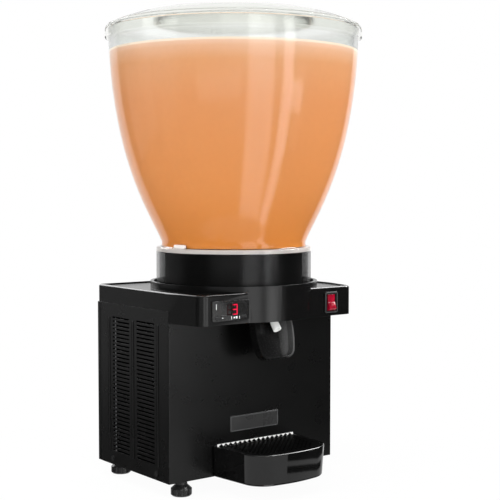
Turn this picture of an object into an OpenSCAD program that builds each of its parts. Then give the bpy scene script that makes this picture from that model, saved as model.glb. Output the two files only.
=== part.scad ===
// Chilled juice dispenser: a clear bowl with a lid on a black refrigerated cabinet with a push tap.
// The origin is on the bowl's axis at floor level. +X is right seen from the front, -Y is the front.

/* [Cabinet] */
// Width across the side panels
body_w = 296; // [284:1:320]
// Depth from front panel to back panel
body_d = 193; // [188:1:215]
// Height of the side panels
body_h = 240; // [234:1:270]
// Distance of the front panel ahead of the bowl's axis
front_setback = 49.5; // [46:0.5:54]
// Thickness of the painted sheet steel
sheet_t = 1.2; // [1:0.1:1.8]
// Height of the base pan's upturned edges
flange_h = 20; // [16:1:28]
// Width of the back panel's folded sides
back_fold = 11; // [8:1:16]
// Outside width of the square corner posts
post_w = 16; // [12:1:17]
// Wall of the corner posts
post_t = 1.5; // [1:0.1:2.5]
// Thickness of the steel deck under the top cover
deck_t = 2; // [1.5:0.1:3]

/* [Louvres] */
// Front face to the first column of slots
louvre_inset = 37.5; // [34:0.5:42]
// Length of one slot
louvre_len = 46; // [38:1:48]
// Gap between the two columns
louvre_gap = 20; // [14:1:24]
// Height of one slot
louvre_h = 2.6; // [2:0.1:3.4]
// Pitch of the rows
louvre_pitch = 5.8; // [5:0.1:8]
// First row above the panel's lower edge
louvre_margin = 21; // [18:1:40]

/* [Feet] */
// Height of the levelling feet
foot_h = 22; // [19:1:30]
// Radius of the foot's grip
foot_r = 15; // [13:0.5:18]
// Radius of the foot's threaded stem
stem_r = 4; // [3:0.5:5]
// Foot axis in from the cabinet's side
foot_inset_x = 30; // [28:1:36]
// Foot axis in from the front and from the back
foot_inset_y = 15; // [13:0.5:18]

/* [Top cover] */
// Height of the cover's band above the side panels
cover_h = 26; // [24:1:34]
// Reach of the cover ahead of the front panel
overhang = 60; // [57:1:64]
// Drop of the overhanging skirt below the side panels' top
skirt_drop = 16; // [12:1:20]
// Width of the cover at its front
cover_front_w = 271; // [262:1:282]
// Wall of the moulded cover
cover_wall = 3; // [2.5:0.1:3.5]
// Rim standing round the cover's top face
cover_rim_h = 2; // [1:0.1:3]
// Radius of the cover's front corners
cover_corner_r = 14; // [8:1:18]
// Radius of the round drum that holds the bowl
drum_r = 123; // [121:0.5:125]
// Wall of the drum's upper ring
drum_wall = 5; // [3:0.5:6]
// Rise of the drum above the cover's rim
drum_rise = 8; // [7:0.5:12]

/* [Turret and bowl] */
// Radius of the turret under the bowl
turret_r = 105.5; // [104.5:0.5:107]
// Height of the turret above the cover's top face
turret_h = 53; // [48:1:60]
// Wall of the turret
turret_wall = 4; // [3:0.5:5]
// Radius of the bowl's collar round the turret
collar_r = 114; // [113:0.5:116]
// Wall of the collar
collar_t = 4.5; // [3:0.5:5]
// Thickness of the bowl's floor
bowl_floor_t = 6.7; // [5:0.1:9]
// Radius of the bowl at its neck
neck_r = 106; // [104:0.5:110]
// Height of the straight neck above the bowl's floor
neck_h = 7; // [4:0.5:12]
// Height of the bowl's curve above its neck
bowl_rise = 299; // [270:1:320]
// Upright band between the bowl's curve and its rim
rim_band = 9; // [6:0.5:14]
// Radius of the bowl at its rim
rim_r = 182; // [178:0.5:188]
// Wall of the bowl
bowl_wall = 4; // [3:0.5:5]
// Radius of the opening in the bowl's floor
floor_hole_r = 78; // [77:0.5:79]
// Overhang of the lid outside the bowl's rim
lid_lip = 5; // [4.5:0.5:8]
// Height of the lid from its lower edge to its top
lid_h = 37; // [34:1:46]
// Thickness of the lid
lid_t = 3; // [2.5:0.1:4]
// Radius of the sunk middle of the lid
lid_dish_r = 119; // [90:1:140]
// Depth of the lid's sunk middle
lid_dish = 13; // [8:0.5:16]

/* [Cooling] */
// Radius of the stainless cooling dome
dome_r = 60; // [56:0.5:61]
// Height of the dome above its flange
dome_h = 80; // [70:1:90]
// Radius of the dome's flange
flange_r = 86; // [84:0.5:86]
// Radius of the drive shaft
shaft_r = 5; // [4:0.5:5.5]
// Radius swept by the agitator
agitator_r = 73; // [70:0.5:75]
// Radius of the compressor's shell
compressor_r = 56; // [50:1:58]
// Height of the compressor's shell
compressor_h = 130; // [110:1:134]
// Thickness of the condenser from face to face
condenser_t = 30; // [24:1:32]
// Width of the condenser's fins
condenser_w = 108; // [104:1:110]
// Height of the condenser
condenser_h = 196; // [180:1:204]
// Radius swept by the fan blades
fan_r = 47; // [42:1:48]

/* [Tap] */
// Outlet tube's axis ahead of the bowl's axis
outlet_reach = 93.5; // [93:0.5:94]
// Outside radius of the outlet tube
tube_r = 6; // [5.5:0.1:6.2]
// Wall of the outlet tube
tube_wall = 1.5; // [1:0.1:1.8]
// Forward lean of the tube's end in degrees
spout_lean = 38; // [20:1:42]
// Width of the paddle at its top
paddle_top_w = 64; // [60:1:72]
// Width of the paddle at its widest
paddle_w = 69; // [62:1:76]
// Width of the paddle at its foot
paddle_foot_w = 58; // [42:1:62]
// Reach of the paddle below the cover's skirt, along its lean
paddle_drop = 59.5; // [45:0.5:70]
// Forward lean of the paddle in degrees
paddle_lean = 14; // [0:1:16]
// Depth of the paddle from front edge to back
paddle_depth = 14; // [12:0.5:16]
// Wall of the paddle
paddle_t = 2.5; // [2:0.1:3.5]
// Radius of the tap's pivot pin
pin_r = 3; // [2.5:0.1:3.5]

/* [Drip tray] */
// Width of the tray at the front panel
tray_w = 146; // [136:1:156]
// Reach of the tray ahead of the front panel
tray_reach = 97; // [92:1:110]
// Height of the tray
tray_h = 44; // [38:1:52]
// Wall of the tray
tray_wall = 2.5; // [2:0.1:3.5]
// Growth of the tray's outline from its foot to its top
tray_draft = 1.03; // [1:0.005:1.05]
// Thickness of the drip grille
grille_t = 3; // [2:0.1:4]
// Pitch of the grille's holes
grille_pitch = 8; // [7:0.5:10]

/* [Controls] */
// Width of the thermostat's bezel
thermostat_w = 62; // [56:1:62]
// Height of the thermostat's bezel
thermostat_h = 27.5; // [25:0.5:28]
// Width of the switch's bezel
switch_w = 24.7; // [22:0.1:28]
// Height of the switch's bezel
switch_h = 30.7; // [29:0.1:31]
// Switch's middle right of the bowl's axis
switch_x = 94; // [88:0.5:100]
// How far the bezels stand proud of the cover
bezel_proud = 2.5; // [1.5:0.1:3]
// Width of the bare plate on the front panel
plate_w = 88; // [60:1:120]
// Height of the bare plate
plate_h = 23; // [16:1:30]

/* [Hidden] */
$fn = 64;
// Gap between pieces that move past each other
gap = 0.3;
// Radial clearance of a shaft in its bore
run = 0.05;
// Extra length of a cut past the face that it opens
over = 1;

x_side = body_w / 2;
// Edge of the posts, clear of the cover's wall
post_x = x_side - cover_wall - gap;
y_front = -front_setback;
y_back = y_front + body_d;
y_mid = (y_front + y_back) / 2;
y_cover = y_front - overhang;
z_pan = foot_h;
z_floor = z_pan + sheet_t;
z_panel = z_pan + body_h;
z_skirt = z_panel - skirt_drop;
z_rim = z_panel + cover_h;
z_roof = z_rim - cover_rim_h;
z_deck = z_roof - cover_wall;
z_under = z_deck - deck_t;
z_drum = z_rim + drum_rise;
cover_back_r = 6;
cover_rim_w = 4;

// Turret, cooling dome and bowl, upwards
flange_t = 2;
seal_t = 2;
turret_plate_t = 4;
z_turret = z_roof + turret_h;
z_flange = z_turret - flange_t - seal_t;
z_plate = z_flange - turret_plate_t;
z_dome = z_flange + flange_t + dome_h;
z_bowl = z_turret + gap;
z_bowl_floor = z_bowl + bowl_floor_t;
z_neck = z_bowl_floor + neck_h;
z_curve = z_neck + bowl_rise;
z_bowl_rim = z_curve + rim_band;
collar_dip = 3;
z_collar = z_drum - collar_dip;
lid_lap = rim_band + 4;
z_lid = z_bowl_rim - lid_lap;
z_lid_top = z_lid + lid_h;
lid_r = rim_r + lid_lip;
dome_t = 1.5;
dome_round = 22;
hub_tube_r = shaft_r + 3.5;
seal_h = 4;
z_hub = z_dome + seal_h + gap;
hub_h = 14;
hub_wall = 9;
cap_h = 10;
cap_wall = 6;
cap_roof = 2;
blade_gap = 3;

// Drive under the deck
gearbox_w = 60;
gearbox_d = 70;
gearbox_h = 34;
motor_r = 27;
motor_h = 60;
z_gearbox = z_under - gearbox_h;
shaft_seat = 25;

// Refrigeration in the cabinet
pipe_r = 3;
capillary_r = 1.5;
pipe_hole_r = pipe_r + 2;
pipe_x = -gearbox_w / 2 - pipe_hole_r - 4;
pipe_gap = 16;
pipe_in = [pipe_x, pipe_gap];
pipe_out = [pipe_x, 0];
tail_l = 31;
z_tails = z_under - tail_l;
coil_r = dome_r - dome_t - pipe_r - gap;
coil_pitch = 9;
coil_rise = 6;
coil_turns = floor((dome_h - dome_round - coil_rise) / coil_pitch);
base_t = 2;
base_lip = 2;
base_x = compressor_r + base_lip;
base_gap = 5;
compressor_set = 8;
compressor_at = [post_x - post_w - base_gap - base_x, y_mid + compressor_set];
base_y = 52;
grommet_r = 9;
grommet_h = 12;
z_compressor = z_floor + grommet_h + base_t;
stub_h = 8;
stub_in = 21;
stub_off = compressor_r - stub_in;
z_stub = z_compressor + compressor_h + stub_h;
condenser_gap = 3.6;
condenser_x = -x_side + 2 * sheet_t + condenser_gap + condenser_t / 2;
condenser_face = condenser_x + condenser_t / 2;
condenser_r = 4;
condenser_rows = 8;
condenser_step = 24;
z_condenser = z_floor + condenser_h / 2;
z_row = z_condenser - condenser_step * (condenser_rows - 1) / 2;
z_top_row = z_row + (condenser_rows - 1) * condenser_step;
condenser_end = y_mid + condenser_w / 2;
shroud_d = 18;
fan_lift = 4;
z_fan = z_condenser + fan_lift;
spindle_r = 3;
spindle_l = 12;
fan_motor_l = 42;
fan_motor_in = 2;
fan_motor_r = 20.5;
fan_gap = 3;
fan_set = 4;
ring_t = 2;
drier_r = 9;
drier_l = 90;
drier_taper = 10;
clip_l = 5.2;
clip_w = 12;
drier_gap = 52;
drier_at = [condenser_face + drier_gap, y_back - sheet_t - clip_l - gap - drier_r];
drier_lift = 37;
z_drier = z_floor + drier_lift;
turn_r = 7;
line_gap = 16;

// Tap
outlet_y = -outlet_reach;
bend_r = 14;
z_bend = z_skirt + 3;
spout_l = 11;
tube_bore = tube_r - tube_wall;
tube_hole_r = tube_r + 0.5;
hub_r = pin_r + 4;
tap_y = outlet_y + tube_r + 1 + hub_r;
tap_z = z_skirt + 10;
paddle_set = 2.5;
paddle_back = tap_y + paddle_set;
lever_w = paddle_top_w / 2 - 4;
bracket_x = paddle_top_w / 2 + 3;
bracket_t = 2;
z_bracket = z_under - bracket_t;
pinch_z = tap_z + 12;
pinch_h = 6;
yoke_x = tube_r + 2.5;
yoke_t = 3.5;
spring_r = 5;
spring_set = 10;
spring_y = y_front - spring_set;
wire_r = 0.7;
seat_margin = 3;
cheek_half = 10;
cheek_drop = 6;
anvil_t = 3;
back_t = 3;
paddle_round = 16;
belly_round = 90;
belly_share = 0.54;
pinch_t = 3.5;
finger_h = 5;
z_finger = tap_z + 1;

// Drip tray
hanger_t = 1.5;
tray_y = y_front - hanger_t - gap;
z_tray = z_pan;
z_tray_top = z_tray + tray_h;
z_tray_floor = z_tray + 8;
tray_ledge = 4;
tray_floor_t = 3;
tray_taper = 9;
tray_bow = 8;
tray_round = 34;
tray_bow_r = 180;
grille_slack = 0.5;
grille_dip = 1;
z_grille = z_tray_top - grille_dip - grille_t;
rail_x = 40;
rail_w = 20;
rail_t = 2;
rail_l = 60;

// Controls
// Middle of both controls below the deck
control_drop = 15.5;
z_control = z_under - control_drop;
// The thermostat stands just clear of the line where the drum leaves the cover's front
control_gap = 0.5;
drum_edge = sqrt(drum_r * drum_r - y_cover * y_cover);
thermostat_x = drum_edge + control_gap + thermostat_w / 2;
thermostat_d = 48;
bezel_lip_x = 3.5;
bezel_lip_z = 3;
bezel_round = 2;
y_bezel = y_cover - bezel_proud;
key_w = 10;
key_inset_x = 10;
key_inset_z = 4.6;
key_room = 1.5;
key_h = 3.6;
key_proud = 0.8;
key_d = 6;
switch_lip = 1.3;
switch_wall = 1.2;
switch_cheek = 3.05;
switch_round = 3;
rocker_frame = 2.95;
rocker_r = switch_h / 2 - rocker_frame;
rocker_w = switch_w - 2 * (switch_lip + switch_cheek);
rocker_pivot = 5;
rocker_tilt = 12;
trunnion_r = 1.5;
trunnion_l = 1.5;

// Plain helpers

// A block between its lowest and highest corners
module block(low, high) {
    translate(low) cube(high - low);
}

// A block that is even about X = 0
module even_block(half_x, y0, y1, z0, z1) {
    block([-half_x, y0, z0], [half_x, y1, z1]);
}

// An upright cylinder between two heights
module upright(r, z0, z1) {
    translate([0, 0, z0]) cylinder(r = r, h = z1 - z0);
}

// A cylinder along X between two ends
module along_x(r, x0, x1) {
    translate([x0, 0, 0]) rotate([0, 90, 0]) cylinder(r = r, h = x1 - x0);
}

// A flat ring between two heights
module ring(r_out, r_in, z0, z1) {
    difference() {
        upright(r_out, z0, z1);
        upright(r_in, z0 - over, z1 + over);
    }
}

// An outline in X and Z given its thickness in Y, ending at y_end
module stand(y_end, depth) {
    translate([0, y_end, 0]) rotate([90, 0, 0]) linear_extrude(depth) children();
}

function unit(v) = v / norm(v);

// Points of the arc of radius r that rounds the corner p between its neighbours a and b
function fillet(a, p, b, r, steps = 8) =
    let (u = unit(a - p), v = unit(b - p), half = acos(u * v) / 2)
    let (c = p + unit(u + v) * r / sin(half))
    let (s = p + u * r / tan(half) - c, e = p + v * r / tan(half) - c)
    let (start = atan2(s.y, s.x), turn = (s.x * e.y - s.y * e.x > 0 ? 1 : -1) * (180 - 2 * half))
    [for (k = [0 : steps]) c + r * [cos(start + turn * k / steps), sin(start + turn * k / steps)]];

// An outline with each corner rounded by its own radius
function rounded(pts, radii) =
    let (n = len(pts))
    [for (i = [0 : n - 1])
        each radii[i] > 0 ? fillet(pts[(i + n - 1) % n], pts[i], pts[(i + 1) % n], radii[i]) : [pts[i]]];

// Points of a round section at each point of a path
function sections(path, r, sides) =
    let (n = len(path))
    [for (i = [0 : n - 1])
        let (dir = unit(path[min(i + 1, n - 1)] - path[max(i - 1, 0)]))
        let (side = unit(cross(dir, abs(dir.z) > 0.9 ? [1, 0, 0] : [0, 0, 1])), up = cross(side, dir))
        for (k = [0 : sides - 1])
            path[i] + r * (cos(360 * k / sides) * side + sin(360 * k / sides) * up)];

// Four-sided faces between neighbouring sections, numbered from first
function skin(n, sides, first = 0) =
    [for (i = [0 : n - 2]) for (k = [0 : sides - 1])
        let (a = first + i * sides, b = a + sides, next = (k + 1) % sides)
        [a + k, b + k, b + next, a + next]];

// A round rod swept along a list of points, for pipes, coils and springs
module swept_rod(path, r, sides = 8) {
    n = len(path);
    near = [for (k = [0 : sides - 1]) k];
    far = [for (k = [sides - 1 : -1 : 0]) (n - 1) * sides + k];
    polyhedron(points = sections(path, r, sides), faces = concat(skin(n, sides), [near, far]));
}

// A hollow tube swept along a list of points
module swept_tube(path, r, bore, sides = 24) {
    n = len(path);
    inside = n * sides;
    last = (n - 1) * sides;
    bore_skin = [for (f = skin(n, sides, inside)) [f[3], f[2], f[1], f[0]]];
    near = [for (k = [0 : sides - 1])
        let (next = (k + 1) % sides)
        [k, next, inside + next, inside + k]];
    far = [for (k = [0 : sides - 1])
        let (next = (k + 1) % sides)
        [last + next, last + k, inside + last + k, inside + last + next]];
    polyhedron(
        points = concat(sections(path, r, sides), sections(path, bore, sides)),
        faces = concat(skin(n, sides), bore_skin, near, far));
}

// A route of straight runs with its inner corners rounded in space
function bent(pts, r, steps = 4) =
    let (n = len(pts))
    [for (i = [0 : n - 1])
        each i == 0 || i == n - 1 ? [pts[i]] : bend(pts[i - 1], pts[i], pts[i + 1], r, steps)];

function bend(a, p, b, r, steps) =
    let (s = p + unit(a - p) * r, e = p + unit(b - p) * r)
    [for (k = [0 : steps]) let (t = k / steps) (1 - t) * (1 - t) * s + 2 * t * (1 - t) * p + t * t * e];

// Cabinet

// Foot positions, front left first
foot_at = [for (y = [y_front + foot_inset_y, y_back - foot_inset_y])
    for (x = [-x_side + foot_inset_x, x_side - foot_inset_x]) [x, y]];

// Screw positions along a side panel, and their height
screw_inset = 32;
screw_y = [y_front + screw_inset, y_back - back_fold - screw_inset];
screw_z = z_pan + flange_h / 2 - 1;
screw_r = 2;
head_r = 4;
head_h = 1.6;
screw_l = 6;

// A pan-head screw along +X whose head seats at the origin
module screw() {
    along_x(head_r, -head_h, 0);
    along_x(screw_r, 0, screw_l);
}

// Puts one copy of its child at each screw, with +X pointing into the cabinet
module at_screws() {
    for (side = [-1, 1])
        for (y = screw_y)
            translate([side * x_side, y, screw_z]) rotate([0, 0, side > 0 ? 180 : 0]) children();
}

module base_pan() {
    edge_x = x_side - sheet_t;
    color("silver") difference() {
        even_block(edge_x, y_front + sheet_t, y_back - sheet_t, z_pan, z_pan + flange_h);
        even_block(edge_x - sheet_t, y_front + 2 * sheet_t, y_back - 2 * sheet_t, z_floor, z_panel);
        for (p = foot_at)
            translate(p) upright(stem_r + 0.5, z_pan - over, z_floor + over);
        at_screws() along_x(screw_r + run, -over, screw_l);
    }
}

module corner_posts() {
    color("silver")
        for (sx = [-1, 1])
            for (y = [y_front + 2 * sheet_t, y_back - cover_back_r - post_w])
                translate([sx * (post_x - post_w / 2), y + post_w / 2, z_floor])
                    linear_extrude(z_under - z_floor) difference() {
                        square(post_w, center = true);
                        square(post_w - 2 * post_t, center = true);
                    }
}

module front_panel() {
    color([0.09, 0.09, 0.09]) {
        even_block(x_side, y_front, y_front + sheet_t, z_pan, z_panel);
        even_block(post_x, y_front, y_front + sheet_t, z_panel, z_under);
    }
}

// A sheet with two columns of slots, outlined in Y and Z
module slotted_outline(y0, y1, first) {
    rows = floor((body_h - 2 * louvre_margin) / louvre_pitch);
    z_first = z_pan + louvre_margin;
    difference() {
        translate([y0, z_pan]) square([y1 - y0, body_h]);
        for (row = [0 : rows])
            for (col = [0, 1])
                translate([first + col * (louvre_len + louvre_gap), z_first + row * louvre_pitch])
                    square([louvre_len, louvre_h]);
    }
}

module side_panel() {
    difference() {
        translate([-x_side, 0, 0]) rotate([90, 0, 90]) linear_extrude(sheet_t)
            slotted_outline(y_front + sheet_t, y_back - back_fold, y_front + louvre_inset);
        at_screws() along_x(screw_r + run, -over, sheet_t + over);
    }
}

module left_side_panel() {
    color([0.15, 0.15, 0.15]) side_panel();
}

module right_side_panel() {
    color([0.15, 0.15, 0.15]) mirror([1, 0, 0]) side_panel();
}

// Cable gland on the back panel
gland_inset = 53;
gland_x = -x_side + gland_inset;
gland_rise = 32;
gland_z = z_pan + gland_rise;
gland_r = 8;
gland_bore = 4;

module back_panel() {
    vent_w = 60;
    vent_rows = 12;
    color([0.15, 0.15, 0.15]) difference() {
        even_block(x_side, y_back - back_fold, y_back, z_pan, z_panel);
        even_block(x_side - sheet_t, y_back - back_fold - over, y_back - sheet_t,
            z_pan - over, z_panel + over);
        for (row = [0 : vent_rows - 1])
            for (x = [-vent_w - louvre_gap / 2, louvre_gap / 2])
                translate([x, y_back - sheet_t - over, z_pan + body_h / 2 + row * louvre_pitch])
                    cube([vent_w, sheet_t + 2 * over, louvre_h]);
        translate([gland_x, y_back + over, gland_z]) rotate([90, 0, 0])
            cylinder(r = gland_r + run, h = sheet_t + 2 * over);
    }
}

module panel_screws() {
    color("dimgray") at_screws() screw();
}

// Holes that the shaft, the pipes and the outlet tube pass through
module passages(z0, z1) {
    upright(shaft_r + 3, z0 - over, z1 + over);
    for (p = [pipe_in, pipe_out])
        translate(p) upright(pipe_hole_r, z0 - over, z1 + over);
    translate([0, outlet_y]) upright(tube_hole_r, z0 - over, z1 + over);
}

module top_deck() {
    color("silver") difference() {
        translate([0, 0, z_under]) linear_extrude(deck_t) polygon(cover_outline(cover_wall + gap));
        passages(z_under, z_deck);
    }
}

// Levelling foot with a scalloped grip, standing on the floor
module foot() {
    grip_h = foot_h / 2;
    rim = 2;
    waist_r = stem_r + 4.6;
    waist_h = 6;
    thread_l = 9;
    top = foot_h + sheet_t + thread_l;
    scallops = 10;
    scallop_r = 2.4;
    scallop_set = 1.4;
    difference() {
        rotate_extrude() polygon([
            [0, 0], [foot_r - rim, 0], [foot_r, rim], [foot_r, grip_h - rim / 2], [foot_r - rim / 2, grip_h],
            [waist_r, foot_h - waist_h], [waist_r, foot_h - gap], [stem_r, foot_h - gap],
            [stem_r, top], [0, top]]);
        for (k = [0 : scallops - 1])
            rotate(360 * k / scallops) translate([foot_r + scallop_set, 0])
                upright(scallop_r, rim, foot_h - waist_h);
    }
}

module foot_front_left() {
    color([0.08, 0.08, 0.08]) translate(foot_at[0]) foot();
}

module foot_front_right() {
    color([0.08, 0.08, 0.08]) translate(foot_at[1]) foot();
}

module foot_rear_left() {
    color([0.08, 0.08, 0.08]) translate(foot_at[2]) foot();
}

module foot_rear_right() {
    color([0.08, 0.08, 0.08]) translate(foot_at[3]) foot();
}

module foot_nuts() {
    nut_h = 2 * stem_r;
    color("silver")
        for (p = foot_at)
            translate(p) difference() {
                translate([0, 0, z_floor]) cylinder(r = stem_r * 1.85, h = nut_h, $fn = 6);
                upright(stem_r + run, z_floor - over, z_floor + nut_h + over);
            }
}

module name_plate() {
    plate_t = 1.2;
    plate_z = z_pan + 71.5;
    color([0.05, 0.05, 0.05]) stand(y_front, plate_t)
        polygon(rounded([
            [-plate_w / 2, plate_z - plate_h / 2], [plate_w / 2, plate_z - plate_h / 2],
            [plate_w / 2, plate_z + plate_h / 2], [-plate_w / 2, plate_z + plate_h / 2]], [1, 1, 1, 1]));
}

// Top cover

// Plan of the cover, drawn in by d on every side
function cover_outline(d) =
    let (xf = cover_front_w / 2 - d, xs = x_side - d, r = cover_corner_r - d, rb = cover_back_r - d)
    rounded(
        [[-xf, y_cover + d], [xf, y_cover + d], [xs, y_front],
            [xs, y_back - d], [-xs, y_back - d], [-xs, y_front]],
        [r, r, 0, rb, rb, 0]);

module top_cover() {
    color([0.13, 0.13, 0.13]) difference() {
        union() {
            translate([0, 0, z_skirt]) linear_extrude(z_rim - z_skirt) polygon(cover_outline(0));
            upright(drum_r, z_skirt, z_drum);
        }
        translate([0, 0, z_skirt - over]) linear_extrude(z_deck - z_skirt + over)
            polygon(cover_outline(cover_wall));
        upright(drum_r - cover_wall, z_skirt - over, z_deck);
        even_block(x_side + over, y_front - gap, y_back + over, z_skirt - over, z_panel);
        difference() {
            translate([0, 0, z_roof]) linear_extrude(cover_rim_h + over) polygon(cover_outline(cover_rim_w));
            upright(drum_r, z_roof - over, z_drum);
        }
        upright(drum_r - drum_wall, z_roof, z_drum + over);
        passages(z_deck, z_roof);
        thermostat_body(gap);
        switch_body(gap);
    }
}

// Thermostat, a bezel with a box behind it

// The box behind the bezel, grown by d for its cut in the cover
module thermostat_body(d) {
    box_w = thermostat_w / 2 - bezel_lip_x + d;
    box_h = thermostat_h / 2 - bezel_lip_z + d;
    translate([-thermostat_x, 0, z_control])
        block([-box_w, y_cover - over, -box_h], [box_w, y_cover + thermostat_d, box_h]);
}

// Middle of a key, on the left or the right under the display
function key_at(side) =
    [-thermostat_x + side * (thermostat_w / 2 - key_inset_x), z_control - thermostat_h / 2 + key_inset_z];

// Window of the display: half width, lower and upper edge, depth
window_x = thermostat_w / 2 - bezel_lip_x - 2.5;
window_rise = 8;
window_z = [z_control - thermostat_h / 2 + window_rise, z_control + thermostat_h / 2 - bezel_lip_z];
window_t = 1.5;

module thermostat_housing() {
    left = -thermostat_x - thermostat_w / 2;
    right = -thermostat_x + thermostat_w / 2;
    low = z_control - thermostat_h / 2;
    color([0.1, 0.1, 0.1]) difference() {
        union() {
            stand(y_cover, bezel_proud)
                polygon(rounded(
                    [[left, low], [right, low], [right, low + thermostat_h], [left, low + thermostat_h]],
                    [for (k = [0 : 3]) bezel_round]));
            thermostat_body(0);
        }
        block([-thermostat_x - window_x, y_bezel - over, window_z[0]],
            [-thermostat_x + window_x, y_bezel + window_t, window_z[1]]);
        for (side = [-1, 1])
            translate([key_at(side).x, 0, key_at(side).y])
                block([-key_w / 2 - gap, y_bezel - over, -key_h / 2 - gap],
                    [key_w / 2 + gap, y_bezel + key_d + key_room, key_h / 2 + gap]);
    }
}

module display_window() {
    fit = 0.1;
    color([0.2, 0.02, 0.02])
        block([-thermostat_x - window_x + fit, y_bezel + fit, window_z[0] + fit],
            [-thermostat_x + window_x - fit, y_bezel + window_t, window_z[1] - fit]);
}

module key(side) {
    translate([key_at(side).x, 0, key_at(side).y])
        block([-key_w / 2, y_bezel - key_proud, -key_h / 2], [key_w / 2, y_bezel + key_d, key_h / 2]);
}

module set_key() {
    color([0.2, 0.2, 0.2]) key(-1);
}

module arrow_key() {
    color([0.2, 0.2, 0.2]) key(1);
}

// Rocker switch

module switch_body(d) {
    half_w = switch_w / 2 - switch_lip + d;
    half_h = rocker_r + switch_wall + d;
    translate([switch_x, 0, z_control])
        block([-half_w, y_cover - over, -half_h],
            [half_w, y_bezel + rocker_pivot + rocker_r + 2 * switch_wall, half_h]);
}

// Moves to the rocker's pivot, with the pivot's axis along X
module at_rocker() {
    translate([switch_x, y_bezel + rocker_pivot, z_control]) children();
}

module switch_housing() {
    half_w = switch_w / 2;
    half_pocket = rocker_w / 2 + gap;
    low = z_control - switch_h / 2;
    color([0.06, 0.06, 0.06]) difference() {
        union() {
            translate([switch_x, 0, 0]) stand(y_cover, bezel_proud)
                polygon(rounded(
                    [[-half_w, low], [half_w, low], [half_w, low + switch_h], [-half_w, low + switch_h]],
                    [for (k = [0 : 3]) switch_round]));
            switch_body(0);
        }
        at_rocker() along_x(rocker_r + gap, -half_pocket, half_pocket);
        at_rocker() along_x(trunnion_r + run, -half_pocket - trunnion_l, half_pocket + trunnion_l);
    }
}

module rocker() {
    reach = 2 * rocker_r;
    color([0.75, 0.05, 0.1]) at_rocker() rotate([-rocker_tilt, 0, 0]) {
        difference() {
            along_x(rocker_r, -rocker_w / 2, rocker_w / 2);
            for (side = [0, 1])
                mirror([0, 0, side]) translate([-rocker_w, -rocker_pivot, 0]) rotate([rocker_tilt, 0, 0])
                    translate([0, -reach, -1]) cube([2 * rocker_w, reach, reach]);
            translate([-rocker_w, rocker_pivot + 1, -reach / 2]) cube([2 * rocker_w, reach, reach]);
        }
        along_x(trunnion_r, -rocker_w / 2 - trunnion_l, rocker_w / 2 + trunnion_l);
    }
}

// Turret and cooling dome

module turret() {
    color([0.12, 0.12, 0.12]) difference() {
        upright(turret_r, z_roof, z_turret);
        upright(turret_r - turret_wall, z_roof - over, z_plate);
        upright(turret_r - turret_wall, z_flange, z_turret + over);
        passages(z_plate, z_flange);
    }
}

module turret_insulation() {
    color("khaki") difference() {
        upright(turret_r - turret_wall - gap, z_roof, z_plate);
        passages(z_roof, z_plate);
    }
}

module evaporator() {
    z_round = z_dome - dome_round;
    arc = [for (a = [0 : 9 : 90]) [cos(a), sin(a)]];
    outer = [for (p = arc) [dome_r - dome_round, z_round] + dome_round * p];
    inner = [for (p = reversed(arc)) [dome_r - dome_round, z_round] + (dome_round - dome_t) * p];
    color("lightgray") rotate_extrude($fn = 96) polygon(concat(
        [[flange_r, z_flange], [flange_r, z_flange + flange_t], [dome_r, z_flange + flange_t]], outer,
        [[hub_tube_r - dome_t, z_dome], [hub_tube_r - dome_t, z_flange], [hub_tube_r, z_flange],
            [hub_tube_r, z_dome - dome_t]],
        inner, [[dome_r - dome_t, z_flange]]));
}

module evaporator_coil() {
    z_first = z_flange + flange_t + coil_rise;
    steps = 20;
    helix = [for (k = [0 : coil_turns * steps])
        let (a = 200 + 360 * k / steps)
        [coil_r * cos(a), coil_r * sin(a), z_first + coil_pitch * k / steps]];
    z_last = z_first + coil_pitch * coil_turns;
    route = concat(
        [[pipe_out.x, pipe_out.y, z_tails], [pipe_out.x, pipe_out.y, z_first - 3]], helix,
        [[pipe_in.x, pipe_in.y, z_last + 3], [pipe_in.x, pipe_in.y, z_last - 4],
            [pipe_in.x, pipe_in.y, z_tails]]);
    color("chocolate") swept_rod(route, pipe_r);
}

module bowl_seal() {
    color("white") ring(flange_r - run, floor_hole_r + 1, z_flange + flange_t, z_turret);
}

// Drive

module shaft_bush() {
    color("goldenrod") ring(hub_tube_r - dome_t - run, shaft_r + run, z_dome - 24, z_dome);
}

module shaft_seal() {
    color([0.1, 0.1, 0.1]) ring(hub_tube_r + 2, shaft_r + run, z_dome, z_dome + seal_h);
}

module drive_shaft() {
    color("lightgray") upright(shaft_r, z_under - shaft_seat, z_hub + hub_h + gap + cap_h - cap_roof);
}

module agitator() {
    blade_t = 4;
    blade_w = agitator_r - dome_r - blade_gap;
    arm_h = 7;
    bar_w = 10;
    z_blade = z_flange + flange_t + 2 * blade_gap;
    color("whitesmoke") difference() {
        union() {
            upright(shaft_r + hub_wall, z_hub, z_hub + hub_h);
            for (turn = [0, 90])
                rotate(turn) intersection() {
                    union() {
                        even_block(agitator_r, -bar_w / 2, bar_w / 2, z_hub, z_hub + arm_h);
                        for (side = [-1, 1])
                            translate([side * (agitator_r - blade_w / 2), 0, 0])
                                even_block(blade_w / 2, -blade_t / 2, blade_t / 2, z_blade, z_hub + arm_h);
                    }
                    upright(agitator_r, z_blade, z_hub + hub_h);
                }
        }
        upright(shaft_r + run, z_hub - over, z_hub + hub_h + over);
    }
}

module agitator_cap() {
    z_cap = z_hub + hub_h + gap;
    color("whitesmoke") difference() {
        rotate_extrude() polygon([
            [0, z_cap], [shaft_r + cap_wall, z_cap], [shaft_r + cap_wall, z_cap + cap_wall],
            [shaft_r + cap_wall / 2, z_cap + cap_h], [0, z_cap + cap_h]]);
        upright(shaft_r + run, z_cap - over, z_cap + cap_h - cap_roof + run);
    }
}

module gearbox() {
    color("gray") difference() {
        even_block(gearbox_w / 2, -gearbox_d / 2, gearbox_d / 2, z_gearbox, z_under);
        upright(shaft_r + run, z_under - shaft_seat - gap, z_under + over);
    }
}

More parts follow.
